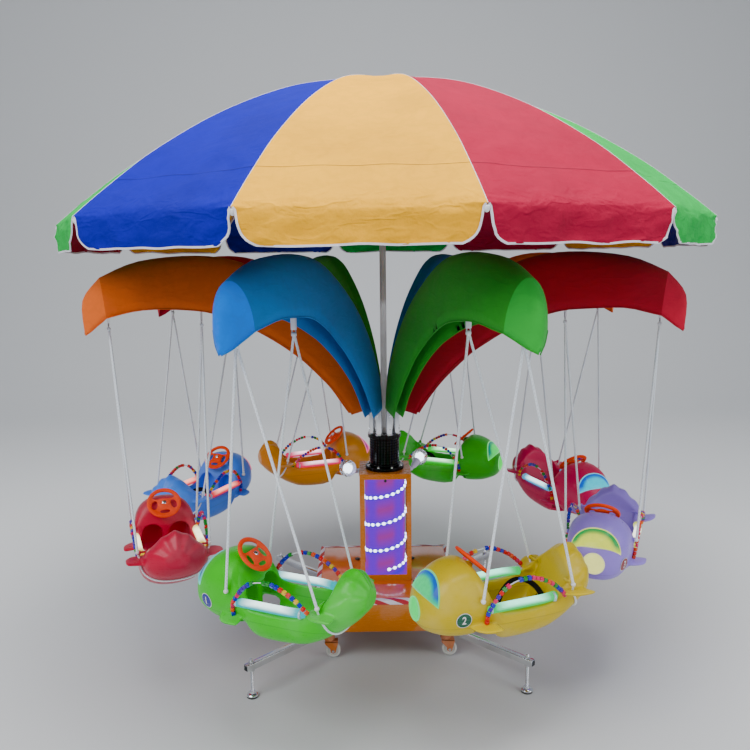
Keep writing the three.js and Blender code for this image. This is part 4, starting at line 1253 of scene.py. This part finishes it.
# the windscreen's half width and slope height, and the level between it and the nose lamp
PANE_HALF, PANE_TALL, PANE_FOOT = 0.101, 0.084, 0.7005
NOSE_Z, NOSE_R = 0.655, 0.042
BAR_OUT, BAR_Z, BAR_R = 0.137, 0.668, 0.0168
bar_run = [0.096, 0.0955, 0.093, 0.088, 0.080] + [0.07 - 0.02 * j for j in range(13)] + [-0.188, -0.196,
    -0.201, -0.2035, -0.204]
bar_swell = [0.55, 0.80, 0.96, 1.0, 1.0] + [1.0] * 13 + [1.0, 1.0, 0.96, 0.80, 0.55]
for k in range(8):
    middle, end, painted_reflection_top, foot_shade, nose_shade = (tint(*c) for c in LIGHTS[k])
    middle = [c * 2.4 for c in middle]
    bm = empty_piece()
    for side in (-1, 1):
        # the bar follows the tub's bend at its ends
        merged(bm, bar([(x, side * (BAR_OUT - 0.6 * max(0, -0.13 - x) ** 1.5 - 0.03 * max(0, x - 0.05)),
            BAR_Z) for x in bar_run], circle(BAR_R, 18), (0, 0, 1), bar_swell))
        for x in (0.0815, -0.1895):
            merged(bm, bar([(x + dx, side * (BAR_OUT - 0.001), BAR_Z) for dx in (-0.0035, 0.0035)],
                circle(BAR_R + 0.0008, 18), (0, 0, 1)), 2)
    pane_rows = [[(sill + Vector((0, a * PANE_HALF, 0)) + pane_up * (t * PANE_TALL * half_round(a)),
        0.004 * (t * (1 - t))) for a in across] for t in (0, 0.1, 0.22, 0.36, 0.5, 0.64, 0.78, 0.9, 1.0)]
    merged(bm, patch(pane_rows, -pane_out, 0.0022), 1)
    disc = [[(Vector((0.36, r * cos(q), NOSE_Z + r * sin(q))), 0.010 * (1 - (r / NOSE_R) ** 2))
        for q in (j * pi / 16 for j in range(33))] for r in (NOSE_R, 0.0405, 0.036, 0.029, 0.020,
        0.010, 0.0004)]
    merged(bm, patch(disc, (-1, 0, 0), 0.002), 1)
    ring_r = NOSE_R + 0.0005
    rim_of_disc = [on_tub((0.7, ring_r * cos(q), NOSE_Z + ring_r * sin(q)), (-1, 0, 0))
        for q in (j * pi / 16 for j in range(32))]
    ring = strung([[p + f * d + (p - Vector((p.x, 0, NOSE_Z))).normalized() * w for p, f in rim_of_disc]
        for d, w in ((-0.003, 0.0035), (0.0020, 0.0035), (0.0042, 0.0015), (0.0042, -0.0015),
        (0.0015, -0.003))], ends=False)
    merged(bm, ring, 3)
    outline = [(a, 0) for a in across] + [(a, half_round(a)) for a in reversed(across)]
    frame_line = [on_tub(sill + Vector((0, a * PANE_HALF, 0)) + pane_up * (h * PANE_TALL) + pane_out * 0.4,
        -pane_out) for a, h in outline]
    heart = sill + pane_up * 0.036
    merged(bm, strung([[p + f * d + ((p - heart) - f * (p - heart).dot(f)).normalized() * w
        for p, f in frame_line] for d, w in ((-0.003, 0.0042), (0.0022, 0.0042), (0.0044, 0.0020),
        (0.0044, -0.0010), (0.0020, -0.0030))], ends=False), 3)

    def shade(p, finish):
        if finish == 0:
            near_end = clamped((abs(p.x + 0.054) - 0.060) / 0.062) ** 0.9
            under = clamped((0.678 - p.z) / 0.013)
            share = max(near_end, under)
            return [a + (b - a) * share for a, b in zip(middle, end)]
        # the frames glow in a pale tint of their lamp's colour, a painted highlight along their rims
        if finish == 3:
            return [0.12 + 0.75 * c for c in (foot_shade if p.z > PANE_FOOT else nose_shade)]
        # the backlit windscreen glows in its foot colour and turns darker near its curved edge, a painted
        # reflection
        if p.z > PANE_FOOT:
            up, out = max((p - sill).dot(pane_up), 0) / PANE_TALL, abs(p.y) / PANE_HALF
            share = clamped((up ** 1.9 + out ** 2.2 - 0.42) / 0.3) * min(up / 0.3, 1)
            return [a + (b - a) * share for a, b in zip(foot_shade, painted_reflection_top)]
        return nose_shade

    painted(bm, shade)
    bm.transform(SEATS[k])
    lights = shown(f"car_lights_{k + 1}", bm, [bar_glow, pane_glow_and_rim_highlight, clear_end, pane_glow_and_rim_highlight], 45)
    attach(lights, f"seat_{k + 1}")

# ---------- Car trim ----------
# Two safety hoops strung with coloured cube beads arch over the sides. White rope buttons hold the four
# rope ends, a rope passes under the tail, a black belt lies in the seat, and a round number plate is stuck
# on the head.
bead_plastic, tree = material("bead_plastic")
own = put(tree, "Attribute", {"attribute_name": "glow"}).outputs["Color"]
speck = noisy(tree, Scale=120.0)
close_material(tree, Base_Color=mixed(tree, ramp(tree, speck, 0.3, 0.8, 0.0, 0.15), own, BLACK),
    Roughness=ramp(tree, speck, 0.3, 0.8, 0.2, 0.4))
clear_string, tree = material("clear_string")
close_material(tree, Base_Color=mixed(tree, noisy(tree, Scale=40.0), tint(236, 240, 244),
    tint(200, 208, 214)), Roughness=0.2, Coat_Weight=0.4)
belt_black = cloth("belt_black", tint(20, 20, 22), threads=500.0, crumple=0.2, fade=0.01)
HOOP = [(0.098, 0.140, 0.618), (0.090, 0.150, 0.672), (0.022, 0.156, 0.752), (-0.070, 0.158, 0.772),
    (-0.160, 0.157, 0.738), (-0.218, 0.151, 0.690), (-0.236, 0.142, 0.666)]
BEADS = [tint(*c) for c in ((226, 4, 12), (244, 78, 0), (246, 196, 0), (4, 16, 190), (4, 142, 34),
    (226, 10, 96), (4, 16, 190), (230, 6, 12), (70, 8, 170))]
BEAD_PITCH, BEAD_END, BEAD_GAP = 0.0180, 0.004, 0.018
PLATES = [(6, 28, 150), (0, 92, 60), (140, 4, 30), (20, 20, 110), (160, 50, 4), (4, 70, 130),
    (100, 10, 90), (8, 90, 36)]
PLATE_AT = [0.234, 0.186, 0.246, 0.205, 0.225, 0.212, 0.23, 0.2]
chance = random.Random(8)
hoop_line = eased(HOOP, 14)
hoop_gone = [0.0]
for a, b in zip(hoop_line, hoop_line[1:]):
    hoop_gone.append(hoop_gone[-1] + (b - a).length)


def on_hoop(s, side):
    i = next(i for i in range(1, len(hoop_gone)) if hoop_gone[i] >= s or i == len(hoop_gone) - 1)
    t = (s - hoop_gone[i - 1]) / (hoop_gone[i] - hoop_gone[i - 1])
    p = hoop_line[i - 1].lerp(hoop_line[i], t)
    run = hoop_line[i] - hoop_line[i - 1]
    return Vector((p.x, p.y * side, p.z)), Vector((run.x, run.y * side, run.z)).normalized()


cube = block((-0.0076, -0.0074, -0.0074), (0.0076, 0.0074, 0.0074), 0.0019, 1)
for k in range(8):
    bm = empty_piece()
    colours = {}
    for side in (-1, 1):
        merged(bm, bar([on_hoop(hoop_gone[-1] * j / 40, side)[0] for j in range(41)], circle(0.0024, 6)), 1)
        s, gap_at = BEAD_END, hoop_gone[-1] * chance.uniform(0.40, 0.56)
        while s < hoop_gone[-1] - BEAD_END:
            if abs(s - gap_at) > BEAD_GAP:
                p, run = on_hoop(s, side)
                side_way = run.cross(Vector((0, 1, 0))).normalized()
                turned_cube = Matrix((run, side_way, run.cross(side_way))).transposed().to_4x4()
                merged(bm, cube.copy(), 0, at(p) @ turned_cube @ spun(chance.uniform(0, pi / 2), "X"))
                colours[p.copy().freeze()] = chance.choice(BEADS)
            s += BEAD_PITCH
        # rope buttons on their stubs
        for x in KNOBS:
            merged(bm, turned(rounded(0.0100, -0.003, 0.003, 0.0022), 18), 8,
                at(x, side * (KNOB_OUT - 0.0105), KNOB_UP) @ spun(pi / 2, "X"))
            merged(bm, bar([(x, side * y, KNOB_UP) for y in (0.095, KNOB_OUT)], circle(0.0046, 10)), 8)
            merged(bm, turned(rounded(0.0088, -0.0080, 0.0080, 0.0060), 18), 5,
                at(x, side * KNOB_OUT, KNOB_UP) @ spun(pi / 2, "X"))
    # the rope under the tail, from button to button
    under, under_r = [], 0.0042
    for j in range(29):
        q = 0.10 + (pi - 0.20) * j / 28
        aim = Vector((-0.42 * sin(q), cos(q), -0.91 * sin(q)))
        p, f = on_tub(Vector((-0.272, 0, 0.672)) + aim * 0.4, -aim)
        under.append(p + f * under_r)
    ends = [[(x, s * y, z) for x, y, z in ((-0.2655, 0.151, 0.7030), (-0.2670, 0.148, 0.6900),
        (-0.2690, 0.139, 0.6720))] for s in (1, -1)]
    merged(bm, bar([*ends[0], *under, *reversed(ends[1])], circle(under_r, 8)), 3)
    # the seat belt
    belt = eased([(-0.040, -0.050, 0.531), (-0.056, -0.052, 0.575), (-0.078, -0.050, 0.630),
        (-0.115, -0.040, 0.672), (-0.160, -0.020, 0.678), (-0.200, 0.004, 0.650),
        (-0.2225, 0.026, 0.602)], 5)
    if k in (1, 4, 6):
        merged(bm, bar(belt, strip(0.012, 0.001), (0, 1, 0.2)), 2)
    belt = eased([(-0.2225, -0.03, 0.602), (-0.200, -0.040, 0.560), (-0.150, -0.045, 0.5345),
        (-0.100, -0.020, 0.5325), (-0.075, 0.030, 0.5325), (-0.090, 0.075, 0.538),
        (-0.120, 0.108, 0.575)], 5)
    merged(bm, bar(belt, strip(0.012, 0.001), (0, 0.2, -1)), 2)
    merged(bm, block((-0.014, -0.009, -0.003), (0.014, 0.009, 0.003), 0.002), 4, at(-0.088, 0.002, 0.5365))
    # the number plate, on the side that faces outwards
    point, facing = on_tub((PLATE_AT[k], 0.5, 0.640), (0, -1, 0))
    facing.z *= 0.4
    facing.normalize()
    along_x = -(Vector((1, 0, 0)) - facing * facing.x).normalized()
    along_z = facing.cross(along_x)
    if along_z.z < 0:
        along_z = -along_z

    def facing_out(part):
        for face in part.faces:
            if face.normal.dot(facing) < 0:
                face.normal_flip()
        return part

    for radius, depth, finish in ((0.0300, 0.0014, 5), (0.0275, 0.0020, 6)):
        disc = [[(point + along_x * (r * cos(q)) + along_z * (r * sin(q)), 0)
            for q in (j * pi / 14 for j in range(29))]
            for r in (*(radius * share for share in (1, 0.8, 0.6, 0.4, 0.2)), 0.0004)]
        merged(bm, facing_out(patch(disc, -facing, depth)), finish, outward=False)
    curve = bpy.data.curves.new("digit", "FONT")
    curve.body, curve.size, curve.offset = str(k + 1), 0.043, 0.0007
    curve.align_x, curve.align_y = "CENTER", "CENTER"
    writing = bpy.data.objects.new("digit", curve)
    scene.collection.objects.link(writing)
    digit = taken(writing)
    # sliced across, so that it bends with the tub
    for j in range(-4, 5):
        bmesh.ops.bisect_plane(digit, geom=[*digit.verts, *digit.edges, *digit.faces],
            plane_co=(0, j * 0.0035, 0), plane_no=(0, 1, 0))
    for v in digit.verts:
        spot_on = point + along_x * (v.co.x * 0.80) + along_z * v.co.y
        p, f = on_tub(spot_on + facing * 0.4, -facing)
        v.co = p + f * 0.0027
    merged(bm, facing_out(digit), 7, outward=False)
    places = list(colours)

    def bead_shade(p, finish):
        if finish:
            return (1, 1, 1, 1)
        return colours[min(places, key=lambda c: (c - p).length_squared)]

    painted(bm, bead_shade)
    bm.transform(SEATS[k])
    plate = lacquered(f"number_plate_{k + 1}", tint(*PLATES[k]), gloss=0.2, dust=0.05)
    trim = shown(f"car_trim_{k + 1}", bm, [bead_plastic, clear_string, belt_black, rope_white, zinc,
        white_plastic, plate, white_plastic, plastics[CAR_FINISH[k][0]]], 40)
    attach(trim, f"seat_{k + 1}")

# ---------- Steering wheels ----------
# The orange steering wheels are moulded in one piece: a thick rim round a dished web with four openings,
# and a small bright cap over the screw that holds them on their post.
wheel_body = turned([(0, -0.0065), (0.022, -0.0065), (0.030, -0.0045), (0.052, -0.0035), (0.0620, -0.0060),
    (0.0680, -0.0070), (0.0745, -0.0055), (0.0790, -0.0015), (0.0790, 0.0030), (0.0745, 0.0065),
    (0.0680, 0.0072), (0.0620, 0.0050), (0.052, 0.0015), (0.030, 0.0025), (0.022, 0.0065), (0, 0.0070)], 64)


def prism(outline):
    return strung([[(x, y, z) for x, y in outline] for z in (-0.03, 0.03)])


def oval(cx, cy, rx, ry, lean=0.0, power=1.0):
    points = []
    for j in range(28):
        q = j * pi / 14
        a = rx * powered(cos(q), power)
        b = ry * powered(sin(q), power)
        points.append((cx + a * cos(lean) - b * sin(lean), cy + a * sin(lean) + b * cos(lean)))
    return points


top_arc = [(0.0605 * sin(q), 0.0605 * cos(q)) for q in (radians(a) for a in range(-60, 61, 6))]
openings = [prism(top_arc + [(0.040, 0.0235), (0.020, 0.0215), (0.0, 0.021), (-0.020, 0.0215),
    (-0.040, 0.0235)]), prism(oval(0.0440, -0.009, 0.0138, 0.0235, 0.25)),
    prism(oval(-0.0440, -0.009, 0.0138, 0.0235, -0.25)), prism(oval(0, -0.0455, 0.0225, 0.0085, 0, 0.8))]
steering = moulded(wheel_body, openings, [], 0.0021, 3)
steering_orange = lacquered("steering_orange", tint(255, 70, 0), gloss=0.45, dust=0.0, drift=0.03,
    peel=0.05, Specular_IOR_Level=0.1)
wheel_mesh = bpy.data.meshes.new("steering")
steering.to_mesh(wheel_mesh)
# local x is the car's left, local y leans up the wheel's face, local z runs along the post
tilt_frame = Matrix(((0, cos(wheel_lean), wheel_axis.x), (-1, 0, 0), (0, sin(wheel_lean), wheel_axis.z)))
for k, turn in enumerate(seat_turns):
    bm = empty_piece()
    bm.from_mesh(wheel_mesh)
    merged(bm, turned([(0, 0.0066), (0.0100, 0.0066), (0.0102, 0.0085), (0.0080, 0.0104), (0.0035, 0.0110),
        (0, 0.0110)], 20), 1)
    bm.transform(spun(turn) @ at(Vector((0, CAR_OUT, 0)) + wheel_at) @ tilt_frame.to_4x4())
    wheel = shown(f"steering_wheel_moulded_{k + 1}", bm, [steering_orange, chrome], 50)
    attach(wheel, f"steering_{k + 1}")
    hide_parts(f"steering_wheel_{k + 1}")
